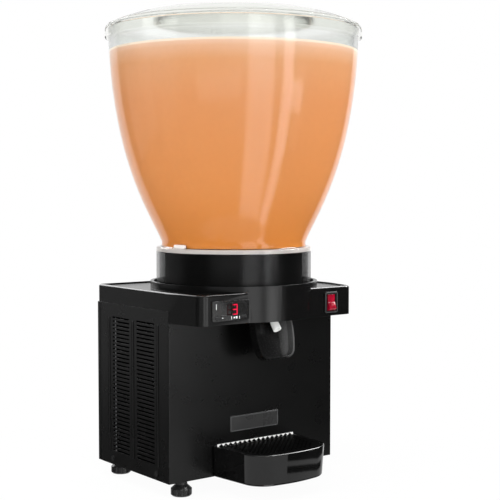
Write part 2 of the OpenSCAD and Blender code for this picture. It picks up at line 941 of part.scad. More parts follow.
module drive_motor() {
    boss_r = 11;
    boss_h = 4;
    color("darkslategray") {
        upright(motor_r, z_gearbox - motor_h, z_gearbox);
        upright(boss_r, z_gearbox - motor_h - boss_h, z_gearbox - motor_h);
    }
}

// Bowl and lid

// Points on the bowl's curve from neck to rim, drawn in by d
neck_pull = [14.5, 37.8];
rim_pull = [5.4, 186.7];
pull_rise = 299;
bowl_steps = 24;
function bowl_curve(d) =
    let (p0 = [neck_r - d, z_neck], p3 = [rim_r - d, z_curve], rise = bowl_rise / pull_rise)
    let (p1 = p0 + neck_pull * rise, p2 = p3 - rim_pull * rise)
    [for (k = [0 : bowl_steps])
        let (t = k / bowl_steps, s = 1 - t)
        s * s * s * p0 + 3 * s * s * t * p1 + 3 * s * t * t * p2 + t * t * t * p3];
function reversed(list) = [for (i = [len(list) - 1 : -1 : 0]) list[i]];

nipple_r = tube_bore - gap;
nipple_wall = 1.2;
nipple_bore = nipple_r - nipple_wall;
nipple_l = 22;

module bowl() {
    color([0.85, 0.88, 0.88, 0.4]) difference() {
        union() {
            rotate_extrude($fn = 128) polygon(concat(
                [[floor_hole_r, z_bowl], [collar_r - collar_t, z_bowl], [collar_r - collar_t, z_collar],
                    [collar_r, z_collar], [collar_r, z_bowl_floor], [neck_r, z_bowl_floor]],
                bowl_curve(0), [[rim_r, z_bowl_rim], [rim_r - bowl_wall, z_bowl_rim]],
                reversed(bowl_curve(bowl_wall)),
                [[neck_r - bowl_wall, z_bowl_floor], [floor_hole_r, z_bowl_floor]]));
            translate([0, outlet_y]) upright(nipple_r, z_bowl - nipple_l, z_bowl + over);
        }
        translate([0, outlet_y]) upright(nipple_bore, z_bowl - nipple_l - over, z_bowl_floor + over);
    }
}

// Lid: skirt, shoulder, then a dome that rises to the edge of the sunk middle
skirt_h = 10;
shoulder_w = 8;
shoulder_h = 9;
shoulder_turn = 65;
z_shoulder = z_lid + skirt_h;
shoulder = [for (a = [0 : 5 : shoulder_turn])
    [lid_r - shoulder_w * (1 - cos(a)), z_shoulder + shoulder_h * sin(a)]];
crest_slope = 0.18;
lid_steps = 8;
dome_foot = shoulder[len(shoulder) - 1];
dome_w = dome_foot.x - lid_dish_r;
foot_drop = z_lid_top - dome_foot.y - crest_slope * dome_w;
function lid_z(r) =
    let (u = r - lid_dish_r)
    z_lid_top - crest_slope * u - foot_drop * pow(u / dome_w, 2);
function lid_curve(r0, r1, d) =
    [for (k = [0 : lid_steps])
        let (r = r0 + (r1 - r0) * k / lid_steps)
        [r, lid_z(r) - d]];

module lid() {
    slack = 0.8;
    plug_dip = 3;
    cove = 4;
    z_seat = z_bowl_rim + gap;
    z_plug = z_lid - plug_dip;
    z_dish = z_lid_top - lid_dish;
    plug_r = rim_r - bowl_wall - slack;
    plug_in = plug_r - lid_t;
    dish_r = lid_dish_r - lid_t;
    color([0.85, 0.88, 0.88, 0.4]) rotate_extrude($fn = 128) polygon(concat(
        [[plug_r, z_plug], [plug_r, z_seat], [rim_r + slack, z_seat], [rim_r + slack, z_lid],
            [lid_r, z_lid]],
        shoulder,
        lid_curve(dome_foot.x - lid_t, lid_dish_r, 0),
        [[dish_r + lid_t / 2, z_dish], [0, z_dish], [0, z_dish - lid_t],
            [dish_r - lid_t / 2, z_dish - lid_t]],
        lid_curve(lid_dish_r + lid_t, plug_in - cove, lid_t),
        [[plug_in, lid_z(plug_in) - lid_t - cove], [plug_in, z_plug]]));
}

// Tap

module outlet_tube() {
    steps = 6;
    arc = [for (k = [0 : steps])
        let (a = spout_lean * k / steps)
        [0, outlet_y - bend_r * (1 - cos(a)), z_bend - bend_r * sin(a)]];
    tip = arc[steps] - spout_l * [0, sin(spout_lean), cos(spout_lean)];
    color("white") swept_tube(concat([[0, outlet_y, z_flange + 0.5]], arc, [tip]), tube_r, tube_bore);
}

module tap_bracket() {
    y0 = outlet_y - tube_hole_r - bracket_t;
    y1 = spring_y + spring_r + seat_margin;
    anvil_y = outlet_y + tube_r + gap;
    color("silver") difference() {
        union() {
            even_block(bracket_x + bracket_t, y0, y1, z_bracket, z_under);
            for (side = [0, 1])
                mirror([side, 0, 0])
                    block([bracket_x, tap_y - cheek_half, tap_z - cheek_drop],
                        [bracket_x + bracket_t, tap_y + cheek_half, z_bracket]);
            even_block(yoke_x - 1.5, anvil_y, anvil_y + anvil_t, pinch_z - anvil_t, z_bracket);
        }
        translate([0, outlet_y]) upright(tube_hole_r, z_bracket - over, z_under + over);
        translate([0, tap_y, tap_z])
            along_x(pin_r + run, -bracket_x - 2 * bracket_t, bracket_x + 2 * bracket_t);
    }
}

module tap_pin() {
    half = bracket_x + bracket_t + pin_r / 2;
    color("lightgray") translate([0, tap_y, tap_z]) along_x(pin_r, -half, half);
}

// Front view of the paddle, drawn in by d, with its top at z_top
module paddle_outline(d, z_top) {
    z_foot = z_skirt - paddle_drop + d;
    top_x = paddle_top_w / 2 - d;
    belly_x = paddle_w / 2 - d;
    foot_x = paddle_foot_w / 2 - d;
    z_belly = z_foot + (tap_z - z_foot) * belly_share;
    polygon(rounded(
        [[-foot_x, z_foot], [foot_x, z_foot], [belly_x, z_belly], [top_x, z_top], [-top_x, z_top],
            [-belly_x, z_belly]],
        [paddle_round - d, paddle_round - d, belly_round, 0, 0, belly_round]));
}

module tap_lever() {
    pinch_y = outlet_y - tube_r - gap;
    yoke_top = [yoke_x + yoke_t, tap_y + yoke_t, pinch_z + pinch_h];
    color([0.1, 0.1, 0.1]) difference() {
        union() {
            translate([0, tap_y, tap_z]) rotate([-paddle_lean, 0, 0]) translate([0, -tap_y, -tap_z])
                difference() {
                    stand(paddle_back, paddle_depth) paddle_outline(0, tap_z);
                    stand(paddle_back - back_t, paddle_depth) paddle_outline(paddle_t, tap_z + over);
                }
            translate([0, tap_y, tap_z]) along_x(hub_r, -lever_w, lever_w);
            for (side = [0, 1])
                mirror([side, 0, 0]) {
                    block([yoke_x, tap_y - yoke_t, tap_z], yoke_top);
                    block([yoke_x, pinch_y - pinch_t, pinch_z], yoke_top);
                }
            even_block(yoke_x + yoke_t, pinch_y - pinch_t, pinch_y, pinch_z, pinch_z + pinch_h);
            even_block(spring_r + 1, tap_y, spring_y + spring_r + 1, z_finger - finger_h, z_finger);
        }
        translate([0, tap_y, tap_z]) along_x(pin_r + run, -bracket_x, bracket_x);
    }
}

module tap_spring() {
    turns = 6;
    steps = 12;
    low = z_finger + wire_r + gap;
    high = z_bracket - wire_r - gap;
    color("silver") translate([0, spring_y, 0]) swept_rod(
        [for (k = [0 : turns * steps])
            let (a = 360 * k / steps)
            [spring_r * cos(a), spring_r * sin(a), low + (high - low) * k / (turns * steps)]], wire_r, 6);
}

// Drip tray

module tray_hanger() {
    strip_w = tray_w / 2 - 2;
    color("lightgray") {
        even_block(strip_w, y_front - hanger_t, y_front, z_tray_floor - gap - rail_t, z_tray_top);
        for (side = [-1, 1])
            translate([side * rail_x, 0, 0])
                even_block(rail_w / 2, y_front - hanger_t - rail_l, y_front - hanger_t,
                    z_tray_floor - gap - rail_t, z_tray_floor - gap);
    }
}

// Plan of the tray about the middle of its back edge, drawn in by d
function tray_outline(d) =
    let (back_x = tray_w / 2 - d, front_x = back_x - tray_taper)
    let (front_y = -tray_reach + d, r = tray_round - d)
    rounded(
        [[-back_x, -d], [-front_x, front_y + tray_bow], [0, front_y - 1], [front_x, front_y + tray_bow],
            [back_x, -d]],
        [0, r, tray_bow_r, r, 0]);

module drip_tray() {
    rail_room = 2;
    color([0.1, 0.1, 0.1]) translate([0, tray_y, 0]) difference() {
        translate([0, 0, z_tray]) linear_extrude(tray_h, scale = tray_draft) polygon(tray_outline(0));
        translate([0, 0, z_grille - gap]) linear_extrude(tray_h) polygon(tray_outline(tray_wall));
        translate([0, 0, z_tray_floor + tray_floor_t]) linear_extrude(tray_h)
            polygon(tray_outline(tray_wall + tray_ledge));
        for (side = [-1, 1])
            translate([side * rail_x, 0, 0])
                even_block(rail_w / 2 + rail_room, -rail_l - rail_room, over, z_tray - over, z_tray_floor);
    }
}

// True where a grille hole at p keeps inside the tray's rounded front
function in_grille(p, margin) =
    let (x = tray_w / 2 - tray_taper - tray_round, y = -tray_reach + tray_bow + tray_round)
    abs(p.x) < x || p.y > y || norm([abs(p.x) - x, p.y - y]) < tray_round - margin;

module drip_grille() {
    edge = tray_wall + grille_slack;
    border = 9;
    hole = grille_pitch * 0.42;
    notch = [3, 4];
    half_x = tray_w / 2 - tray_taper - edge - tray_ledge;
    cols = floor(half_x / grille_pitch);
    rows = floor((tray_reach - 2 * border) / (grille_pitch / 2));
    color([0.08, 0.08, 0.08]) translate([0, tray_y, z_grille]) linear_extrude(grille_t) difference() {
        polygon(tray_outline(edge));
        for (row = [2 : rows])
            for (col = [-cols : cols]) {
                p = [(col + (row % 2) / 2) * grille_pitch, -edge - row * grille_pitch / 2];
                if (abs(p.x) < half_x && in_grille(p, border))
                    translate(p) rotate(45) square(hole, center = true);
            }
        for (col = [-cols : cols])
            translate([col * grille_pitch, -edge])
                polygon([[-notch.x, over], [notch.x, over], [0, -notch.y]]);
    }
}

// Refrigeration

module compressor() {
    round_r = 30;
    z_round = z_compressor + compressor_h - round_r;
    dome = [for (a = [0 : 10 : 90]) [compressor_r - round_r + round_r * cos(a), z_round + round_r * sin(a)]];
    color([0.1, 0.1, 0.1]) translate(compressor_at) {
        rotate_extrude() polygon(concat([[0, z_compressor], [compressor_r, z_compressor]], dome,
            [[0, z_compressor + compressor_h]]));
        even_block(base_x, -base_y, base_y, z_compressor - base_t, z_compressor);
        for (p = [[-stub_off, 0], [0, stub_off]])
            translate(p) upright(condenser_r, z_round, z_stub);
    }
}

module compressor_grommets() {
    color([0.15, 0.15, 0.15]) translate(compressor_at)
        for (x = [-1, 1])
            for (y = [-1, 1])
                translate([x * (base_x - grommet_r), y * (base_y - grommet_r)])
                    upright(grommet_r, z_floor, z_floor + grommet_h);
}

module relay_box() {
    box = [32, 20, 45];
    y_relay = compressor_at.y - compressor_r - gap - box.y;
    color([0.2, 0.2, 0.2]) translate([compressor_at.x - box.x / 2, y_relay, z_compressor + box.z]) cube(box);
}

module condenser() {
    fins = 13;
    fin_t = 0.8;
    z_top = z_floor + condenser_h;
    y0 = y_mid - condenser_w / 2;
    pitch = (condenser_w - fin_t) / (fins - 1);
    color("gainsboro") {
        for (k = [0 : fins - 1])
            let (z0 = k % (fins - 1) == 0 ? z_floor : z_row - condenser_step / 2)
                block([condenser_x - condenser_t / 2, y0 + k * pitch, z0],
                    [condenser_face, y0 + k * pitch + fin_t, z_top]);
        for (row = [0 : condenser_rows - 1])
            translate([condenser_x, y0, z_row + row * condenser_step]) rotate([-90, 0, 0])
                cylinder(r = condenser_r, h = condenser_w);
        for (row = [0 : condenser_rows - 2])
            translate([condenser_x, y0 + row % 2 * condenser_w, z_row + (row + 0.5) * condenser_step])
                rotate([90, 90 - 180 * (row % 2), 90]) rotate_extrude(angle = 180)
                    translate([condenser_step / 2, 0]) circle(condenser_r);
    }
}

// Moves to the fan's axis, which runs along X
module at_fan() {
    translate([0, y_mid, z_fan]) children();
}

module fan_shroud() {
    ring_r = fan_r + fan_gap;
    plate_t = 1.2;
    half_z = condenser_h / 2 - fan_lift - condenser_step / 2;
    color([0.2, 0.2, 0.2]) at_fan() difference() {
        union() {
            block([condenser_face, -condenser_w / 2, -half_z],
                [condenser_face + plate_t, condenser_w / 2, half_z]);
            along_x(ring_r + ring_t, condenser_face, condenser_face + shroud_d);
        }
        along_x(ring_r, condenser_face - over, condenser_face + shroud_d + over);
    }
}

module fan_bracket() {
    x0 = condenser_face + shroud_d;
    t = 1.5;
    ring_out = fan_r + fan_gap + ring_t;
    eye_t = 4;
    arm_w = 10;
    color("silver") at_fan() difference() {
        along_x(ring_out, x0, x0 + t);
        difference() {
            along_x(ring_out - eye_t, x0 - over, x0 + t + over);
            along_x(fan_motor_r + eye_t, x0 - 2 * over, x0 + t + 2 * over);
            for (turn = [0, 120, 240])
                rotate([turn, 0, 0])
                    block([x0 - 2 * over, -arm_w / 2, 0], [x0 + t + 2 * over, arm_w / 2, ring_out]);
        }
        along_x(fan_motor_r + gap, x0 - over, x0 + t + over);
    }
}

module fan_motor() {
    x0 = condenser_face + shroud_d - fan_motor_in;
    color("dimgray") at_fan() difference() {
        along_x(fan_motor_r, x0, x0 + fan_motor_l);
        along_x(spindle_r + run, x0 - over, x0 + fan_motor_in + spindle_l + gap);
    }
}

module fan_blade() {
    x0 = condenser_face + fan_set;
    depth = 10;
    blade_t = 2;
    blades = 5;
    hub = 18;
    pitch = 30;
    color("gainsboro") at_fan() {
        along_x(hub, x0, x0 + depth);
        along_x(spindle_r, x0, condenser_face + shroud_d + spindle_l);
        intersection() {
            for (k = [0 : blades - 1])
                rotate([360 * k / blades, 0, 0])
                    translate([x0 + depth / 2, 0, hub / 2]) rotate([0, 0, pitch])
                        block([-blade_t / 2, -hub, 0], [blade_t / 2, hub, fan_r]);
            along_x(fan_r, x0 - blade_t / 2, x0 + depth + blade_t / 2);
        }
    }
}

module filter_drier() {
    color("peru") translate(drier_at) rotate_extrude() polygon([
        [0, z_drier], [pipe_r, z_drier], [drier_r, z_drier + drier_taper],
        [drier_r, z_drier + drier_l - drier_taper],
        [pipe_r, z_drier + drier_l], [0, z_drier + drier_l]]);
}

module drier_clip() {
    z0 = z_drier + (drier_l - clip_w) / 2;
    color("silver")
        block([drier_at.x - clip_w / 2, y_back - sheet_t - clip_l, z0],
            [drier_at.x + clip_w / 2, y_back - sheet_t, z0 + clip_w]);
}

module discharge_line() {
    from = [compressor_at.x, compressor_at.y + stub_off];
    y_run = condenser_end + line_gap;
    color("chocolate") swept_rod(bent([
        [from.x, from.y, z_stub], [from.x, from.y, z_top_row], [from.x, y_run, z_top_row],
        [condenser_x, y_run, z_top_row], [condenser_x, condenser_end, z_top_row]], turn_r), pipe_r);
}

module liquid_line() {
    z_low = z_drier - line_gap;
    color("chocolate") swept_rod(bent([
        [condenser_x, condenser_end, z_row], [condenser_x, condenser_end + line_gap, z_row],
        [condenser_x + 1.5 * line_gap, drier_at.y, z_low], [drier_at.x, drier_at.y, z_low],
        [drier_at.x, drier_at.y, z_drier]], turn_r), pipe_r);
}

module capillary_tube() {
    z_run = z_top_row - line_gap;
    color("peru") swept_rod(bent([
        [pipe_out.x, pipe_out.y, z_tails], [pipe_out.x, pipe_out.y, z_run], [drier_at.x, drier_at.y, z_run],
        [drier_at.x, drier_at.y, z_drier + drier_l]], turn_r), capillary_r);
}

module suction_line() {
    z_run = (z_tails + z_stub) / 2;
    to = [compressor_at.x - stub_off, compressor_at.y];
    color("chocolate") swept_rod(bent([
        [pipe_in.x, pipe_in.y, z_tails], [pipe_in.x, pipe_in.y, z_run], [pipe_in.x, to.y, z_run],
        [to.x, to.y, z_run], [to.x, to.y, z_stub]], turn_r), pipe_r);
}

// Electrical pieces

module cable_gland() {
    nut_t = 6;
    nut_r = gland_r + 3;
    lock_t = 5;
    stem_l = sheet_t + 10;
    color([0.12, 0.12, 0.12]) translate([gland_x, y_back, gland_z]) rotate([90, 0, 0]) difference() {
        union() {
            translate([0, 0, -nut_t]) cylinder(r = nut_r, h = nut_t, $fn = 6);
            cylinder(r = gland_r, h = stem_l);
            translate([0, 0, sheet_t]) cylinder(r = nut_r, h = lock_t, $fn = 6);
        }
        translate([0, 0, -nut_t - over]) cylinder(r = gland_bore, h = nut_t + stem_l + 2 * over);
    }
}

module terminal_block() {
    ways = 5;
    way = [9, 18, 16];
    hole_r = 2;
    hole_z = 6;
    inset = 12;
    color("ivory") translate([0, y_front + inset, z_floor]) difference() {
        cube([ways * way.x, way.y, way.z]);
        for (k = [0 : ways - 1])
            translate([(k + 0.5) * way.x, way.y / 2, hole_z]) cylinder(r = hole_r, h = way.z);
    }
}

base_pan();
corner_posts();
front_panel();
left_side_panel();
right_side_panel();
back_panel();
top_deck();
panel_screws();
foot_front_left();
foot_front_right();
foot_rear_left();
foot_rear_right();
foot_nuts();
name_plate();
top_cover();
thermostat_housing();
display_window();
set_key();
arrow_key();
switch_housing();
rocker();
turret();
turret_insulation();
evaporator();
evaporator_coil();
bowl_seal();
shaft_bush();
shaft_seal();
drive_shaft();
agitator();
agitator_cap();
gearbox();
drive_motor();
bowl();
lid();
outlet_tube();
tap_bracket();
tap_lever();
tap_pin();
tap_spring();
tray_hanger();
drip_tray();
drip_grille();
compressor();
compressor_grommets();
relay_box();
condenser();
fan_shroud();
fan_bracket();
fan_motor();
fan_blade();
filter_drier();
drier_clip();
discharge_line();
liquid_line();
capillary_tube();
suction_line();
cable_gland();
terminal_block();
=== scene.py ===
from math import cos, pi, radians, sin, tau

import bmesh
import bpy
from mathutils import Matrix, Vector
from mathutils.geometry import interpolate_bezier


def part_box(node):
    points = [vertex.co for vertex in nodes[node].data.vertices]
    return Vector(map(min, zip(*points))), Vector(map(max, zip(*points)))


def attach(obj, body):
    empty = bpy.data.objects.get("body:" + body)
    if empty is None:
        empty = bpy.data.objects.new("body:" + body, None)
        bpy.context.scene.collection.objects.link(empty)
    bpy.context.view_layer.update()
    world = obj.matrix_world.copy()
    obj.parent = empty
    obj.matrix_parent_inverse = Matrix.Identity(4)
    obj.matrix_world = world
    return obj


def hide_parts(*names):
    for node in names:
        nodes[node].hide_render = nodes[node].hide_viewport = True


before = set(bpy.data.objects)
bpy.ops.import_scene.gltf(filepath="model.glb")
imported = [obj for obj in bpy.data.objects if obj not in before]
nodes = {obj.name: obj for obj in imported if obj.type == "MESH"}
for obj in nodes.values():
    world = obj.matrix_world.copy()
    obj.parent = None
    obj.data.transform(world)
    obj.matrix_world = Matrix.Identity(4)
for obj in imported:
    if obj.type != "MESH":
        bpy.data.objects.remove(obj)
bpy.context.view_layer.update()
scene = bpy.context.scene
mm = 0.001
print("frame loaded:", len(nodes), "nodes")


# Camera

cameraView = {
    "place": (-1.0168, -1.3657, 0.4347),
    "tiltDown": 3.184,
    "turn": -37.478,
    "lens": 83.06,
}


def addCamera(view):
    data = bpy.data.cameras.new("photoCamera")
    data.lens = view["lens"]
    camera = bpy.data.objects.new("photoCamera", data)
    camera.location = view["place"]
    camera.rotation_euler = (radians(90 - view["tiltDown"]), 0, radians(view["turn"]))
    scene.collection.objects.link(camera)
    scene.camera = camera


addCamera(cameraView)
scene.view_settings.view_transform = "Standard"


# Studio: white surroundings, a pale floor, screens and soft boxes

studio = {
    "white": (1, 1, 1, 1),
    "fill": 0.82,                       # strength of the surroundings on matt surfaces
    "floorSize": 12.0,
    "floorPaint": (0.9, 0.9, 0.9, 1),
    "floorWhite": (0.955, 1.0),         # share of plain white in the floor, near the object and away from it
    "floorFade": (0.2, 0.5),            # radii in metres between which it grows
    "screenSteps": 48,
    "lampAim": (0, 0, 0.35),
}
screens = {                 # seen in reflections only: radius, foot, top, azimuths from and to, level
    "darkCurtain": (4.5, -9.0, 3.2, -168, 105, 0.045),
    "lowCard": (0.42, -0.12, 0.012, -112, 17, 0.8),
    "rightBand": (0.42, -0.0585, -0.0495, 17, 72, 0.8),
    "rightCard": (0.42, -0.12, -0.071, 17, 72, 0.75),
    "rightEnd": (0.42, -0.12, -0.0495, 72, 120, 0.8),
}
softBoxes = {               # azimuth from the front, distance, height, width, tall, watts
    "wideWindow": (-12, 3.0, -0.5, 1.35, 6.4, 82),
    "narrowWindow": (13, 3.0, -0.5, 0.55, 6.4, 54),
    "drumWindow": (23, 2.9, 0.07, 0.62, 0.4, 3.0),
    "drumGlow": (-50, 2.9, 0.07, 2.1, 0.4, 2.7),
    "panelGlow": (26, 3.0, -0.15, 0.55, 1.2, 0.6),
    "leftWall": (-135, 3.0, 0.15, 2.0, 1.0, 2.0),
    "overhead": (-60, 1.2, 3.4, 2.0, 2.0, 40),
}
edgeLights = {              # the same, seen in reflections only
    "frontEdges": (84, 2.2, 2.9, 2.4, 2.4, 440),
    "leftEdges": (-174, 2.6, 2.1, 2.0, 2.0, 90),
}
fillLights = {              # the same, kept out of reflections
    "leftFill": (-105, 3.0, 1.0, 2.0, 2.0, 35),
    "frontFill": (-30, 3.0, 1.4, 2.0, 2.0, 22),
}


def linkMesh(name, bm):
    mesh = bpy.data.meshes.new(name)
    bm.to_mesh(mesh)
    bm.free()
    thing = bpy.data.objects.new(name, mesh)
    scene.collection.objects.link(thing)
    return thing


def bareMaterial(thing):
    material = bpy.data.materials.new(thing.name)
    material.use_nodes = True
    tree = material.node_tree
    tree.nodes.remove(tree.nodes["Principled BSDF"])
    thing.data.materials.append(material)
    return tree, tree.nodes["Material Output"].inputs["Surface"]


def mathNode(tree, operation, first, second):
    node = tree.nodes.new("ShaderNodeMath")
    node.operation = operation
    tree.links.new(first, node.inputs[0])
    tree.links.new(second, node.inputs[1])
    return node.outputs[0]


def objectPlace(tree):
    return tree.nodes.new("ShaderNodeTexCoord").outputs["Object"]


def mapRange(tree, value, fromSpan, toSpan=(0.0, 1.0)):
    reach = tree.nodes.new("ShaderNodeMapRange")
    reach.inputs["From Min"].default_value, reach.inputs["From Max"].default_value = fromSpan
    reach.inputs["To Min"].default_value, reach.inputs["To Max"].default_value = toSpan
    tree.links.new(value, reach.inputs["Value"])
    return reach


def mixShaders(tree, share, first, second, target):
    mix = tree.nodes.new("ShaderNodeMixShader")
    tree.links.new(share, mix.inputs["Fac"])
    tree.links.new(first.outputs[0], mix.inputs[1])
    tree.links.new(second.outputs[0], mix.inputs[2])
    tree.links.new(mix.outputs[0], target)


def seenDirectly(tree):
    rays = tree.nodes.new("ShaderNodeLightPath").outputs
    seen = mathNode(tree, "MAXIMUM", rays["Is Camera Ray"], rays["Is Glossy Ray"])
    return mathNode(tree, "MAXIMUM", seen, rays["Is Transmission Ray"])


def addSurroundings(settings):
    world = bpy.data.worlds.new("studioWhite")
    world.use_nodes = True
    scene.world = world
    tree = world.node_tree
    fill = tree.nodes["Background"]
    white = tree.nodes.new("ShaderNodeBackground")
    for light in (fill, white):
        light.inputs["Color"].default_value = settings["white"]
    fill.inputs["Strength"].default_value = settings["fill"]
    mixShaders(tree, seenDirectly(tree), fill, white, tree.nodes["World Output"].inputs["Surface"])


def addFloor(settings):
    bm = bmesh.new()
    bmesh.ops.create_grid(bm, x_segments=1, y_segments=1, size=settings["floorSize"])
    floor = linkMesh("paleFloor", bm)
    tree, surface = bareMaterial(floor)
    paint = tree.nodes.new("ShaderNodeBsdfDiffuse")
    paint.inputs["Color"].default_value = settings["floorPaint"]
    glow = tree.nodes.new("ShaderNodeEmission")
    away = tree.nodes.new("ShaderNodeVectorMath")
    away.operation = "LENGTH"
    tree.links.new(objectPlace(tree), away.inputs[0])
    fade = mapRange(tree, away.outputs["Value"], settings["floorFade"], settings["floorWhite"])
    fade.interpolation_type = "SMOOTHSTEP"
    share = mathNode(tree, "MULTIPLY", seenDirectly(tree), fade.outputs["Result"])
    mixShaders(tree, share, paint, glow, surface)
    floor.visible_glossy = False


def addScreen(name, radius, footZ, topZ, fromAzimuth, toAzimuth, level):
    bm = bmesh.new()
    start = radians(fromAzimuth)
    ends = [bm.verts.new((radius * sin(start), -radius * cos(start), z)) for z in (footZ, topZ)]
    hem = bm.edges.new(ends)
    bmesh.ops.spin(bm, geom=ends + [hem], cent=(0, 0, 0), axis=(0, 0, 1),
                   angle=radians(toAzimuth - fromAzimuth), steps=studio["screenSteps"])
    screen = linkMesh(name, bm)
    tree, surface = bareMaterial(screen)
    cloth = tree.nodes.new("ShaderNodeEmission")
    cloth.inputs["Strength"].default_value = level
    tree.links.new(cloth.outputs[0], surface)
    for ray in ("camera", "diffuse", "shadow", "transmission", "volume_scatter"):
        setattr(screen, "visible_" + ray, False)


def addSoftBox(name, azimuth, distance, height, width, tall, watts):
    data = bpy.data.lights.new(name, "AREA")
    data.shape = "RECTANGLE"
    data.size = width
    data.size_y = tall
    data.energy = watts
    lamp = bpy.data.objects.new(name, data)
    lamp.location = (distance * sin(radians(azimuth)), -distance * cos(radians(azimuth)), height)
    toObject = Vector(studio["lampAim"]) - lamp.location
    lamp.rotation_euler = toObject.to_track_quat("-Z", "Y").to_euler()
    scene.collection.objects.link(lamp)
    return lamp


addSurroundings(studio)
addFloor(studio)
for screenName, screenPlace in screens.items():
    addScreen(screenName, *screenPlace)
for boxName, boxPlace in softBoxes.items():
    addSoftBox(boxName, *boxPlace)
for edgeName, edgePlace in edgeLights.items():
    edgeLight = addSoftBox(edgeName, *edgePlace)
    edgeLight.visible_diffuse = edgeLight.visible_transmission = False
for fillName, fillPlace in fillLights.items():
    addSoftBox(fillName, *fillPlace).visible_glossy = False
print("studio set")


# Finishes: each is a principled shader, most of them with grain in colour, gloss and relief

finishes = {   # dark and light tone, grain per metre, gloss range, relief in mm, then fixed sockets
    "sheetBlack": ((5, 5, 5), (6, 6, 6), 1400, (0.27, 0.29), 0.004, {"Specular IOR Level": 0.38}),
    "coverBlack": ((9, 9, 9), (11, 11, 11), 900, (0.22, 0.26), 0.003, {"Specular IOR Level": 0.25}),
    "turretBlack": ((7, 7, 7), (10, 10, 10), 500, (0.4, 0.5), 0.003, {"Specular IOR Level": 0.27}),
    "trayBlack": ((5, 5, 5), (8, 8, 8), 700, (0.04, 0.06), 0.002, {"Specular IOR Level": 0.5}),
    "grilleBlack": ((5, 5, 5), (9, 9, 9), 1200, (0.3, 0.42), 0.01, {"Specular IOR Level": 0.01}),
    "footBlack": ((12, 12, 12), (20, 20, 20), 1300, (0.25, 0.4), 0.01, {"Specular IOR Level": 0.45}),
    "plateBlack": ((46, 46, 46), (49, 49, 49), 1500, (0.25, 0.35), 0.004, {"Specular IOR Level": 0.35}),
    "bezelBlack": ((14, 14, 14), (20, 20, 20), 1200, (0.25, 0.35), 0.006, {"Specular IOR Level": 0.45}),
    "trimGrey": ((72, 73, 74), (84, 85, 86), 900, (0.3, 0.4), 0.004, {}),
    "keyGrey": ((16, 16, 17), (24, 24, 25), 900, (0.35, 0.45), 0.006, {}),
    "markWhite": ((206, 208, 208), (228, 230, 230), 900, (0.4, 0.5), 0.002, {}),
    "zinc": ((150, 152, 154), (186, 188, 190), 260, (0.3, 0.5), 0.006, {"Metallic": 1.0}),
    "screwSteel": ((10, 10, 10), (20, 20, 20), 1600, (0.3, 0.45), 0.006, {}),
    "stainless": ((186, 188, 190), (206, 208, 210), 420, (0.18, 0.3), 0.003, {"Metallic": 1.0}),
    "hangerBright": ((222, 223, 224), (238, 239, 240), 420, (0.2, 0.32), 0.002, {"Metallic": 0.85}),
    "copper": ((176, 102, 66), (208, 134, 92), 180, (0.25, 0.42), 0.004, {"Metallic": 1.0}),
    "bronze": ((150, 118, 66), (178, 142, 84), 420, (0.3, 0.45), 0.005, {"Metallic": 1.0}),
    "whiteRubber": ((208, 208, 202), (224, 224, 218), 800, (0.5, 0.65), 0.008, {}),
    "blackRubber": ((18, 18, 18), (28, 28, 28), 900, (0.55, 0.7), 0.012, {"Specular IOR Level": 0.3}),
    "whitePlastic": ((226, 227, 225), (240, 241, 239), 700, (0.3, 0.42), 0.004, {}),
    "castAluminium": ((142, 144, 146), (168, 170, 172), 1100, (0.42, 0.58), 0.03, {"Metallic": 0.9}),
    "motorGrey": ((88, 90, 93), (110, 112, 115), 600, (0.35, 0.5), 0.01, {"Metallic": 0.4}),
    "foam": ((214, 198, 146), (236, 222, 176), 240, (0.8, 0.95), 0.25, {"Specular IOR Level": 0.1}),
    "switchTrim": ((58, 60, 60), (86, 88, 90), 300, (0.2, 0.3), 0.004, {}),
    # painted light and shade on the lid's edges
    "paintedLidEdge": ((152, 154, 151), (170, 172, 168), 300, (0.3, 0.4), 0.002, {}),
    # painted shade: near-black sheet behind the louvres
    "slotShadeBlack": ((1, 1, 1), (3, 3, 3), 600, (0.8, 0.9), 0.01, {"Specular IOR Level": 0.0}),
    # painted highlight along the tray's back edge
    "lipGlintWhite": ((238, 238, 236), (250, 250, 248), 420, (0.3, 0.4), 0.002, {}),
    # painted shade beside the beads, and the dark joint line at the back fold
    "shadeAndJointBlack": ((3, 3, 3), (6, 6, 6), 1400, (0.5, 0.65), 0.004, {"Specular IOR Level": 0.1}),
    "barGrey": ((76, 77, 78), (96, 97, 98), 900, (0.4, 0.5), 0.004, {}),
    "finBlack": ((8, 8, 8), (16, 16, 16), 600, (0.45, 0.6), 0.01, {"Specular IOR Level": 0.2}),
    "frost": ((196, 189, 185), (214, 207, 203), 300, (0.4, 0.55), 0.01, {}),
    "creamFoam": ((250, 226, 200), (255, 240, 222), 380, (0.35, 0.5), 0.05, {}),
}
grainLook = {
    "span": (0.3, 0.7),     # part of a noise's range that is spread over tones and gloss
    "fineDetail": 4.0,
    "softDetail": 3.0,
    "patchSize": 40,        # patches of tone are this many times as wide as the grain
    "bumpStrength": 0.6,
}
clearFinishes = {           # transparent plastics, tinted and slightly wavy
    "clear": {
        "tint": (0.965, 0.98, 0.975, 1),
        "index": 1.4,
        "gloss": (0.1, 0.15),
        "smear": 14,
        "waveDepth": 0.02,
    },
    "lidClear": {
        "tint": (0.932, 0.936, 0.918, 1),
        "index": 1.015,
        "gloss": (0.02, 0.06),
        "smear": 14,
        "waveDepth": 0.02,
    },
}
smokedPlastic = {"tone": (10, 10, 10), "share": 0.5, "shine": 0.36, "gloss": (0.22, 0.28), "smear": 14}
juiceLook = {               # height above the floor in metres and tone there
    "tones": ((0.346, (238, 152, 62)), (0.43, (239, 161, 90)), (0.55, (231, 160, 101)),
              (0.602, (230, 168, 116)), (0.619, (236, 188, 150)), (0.628, (246, 212, 186))),
    "gloss": 0.35,
    "shine": 0.3,
    "pulp": 160,
    "pulpDetail": 6.0,
    "pulpShare": 0.12,
    "pulpTones": ((0.8, 0.76, 0.7, 1), (1, 1, 1, 1)),
    "pulpDepth": 0.05,
}
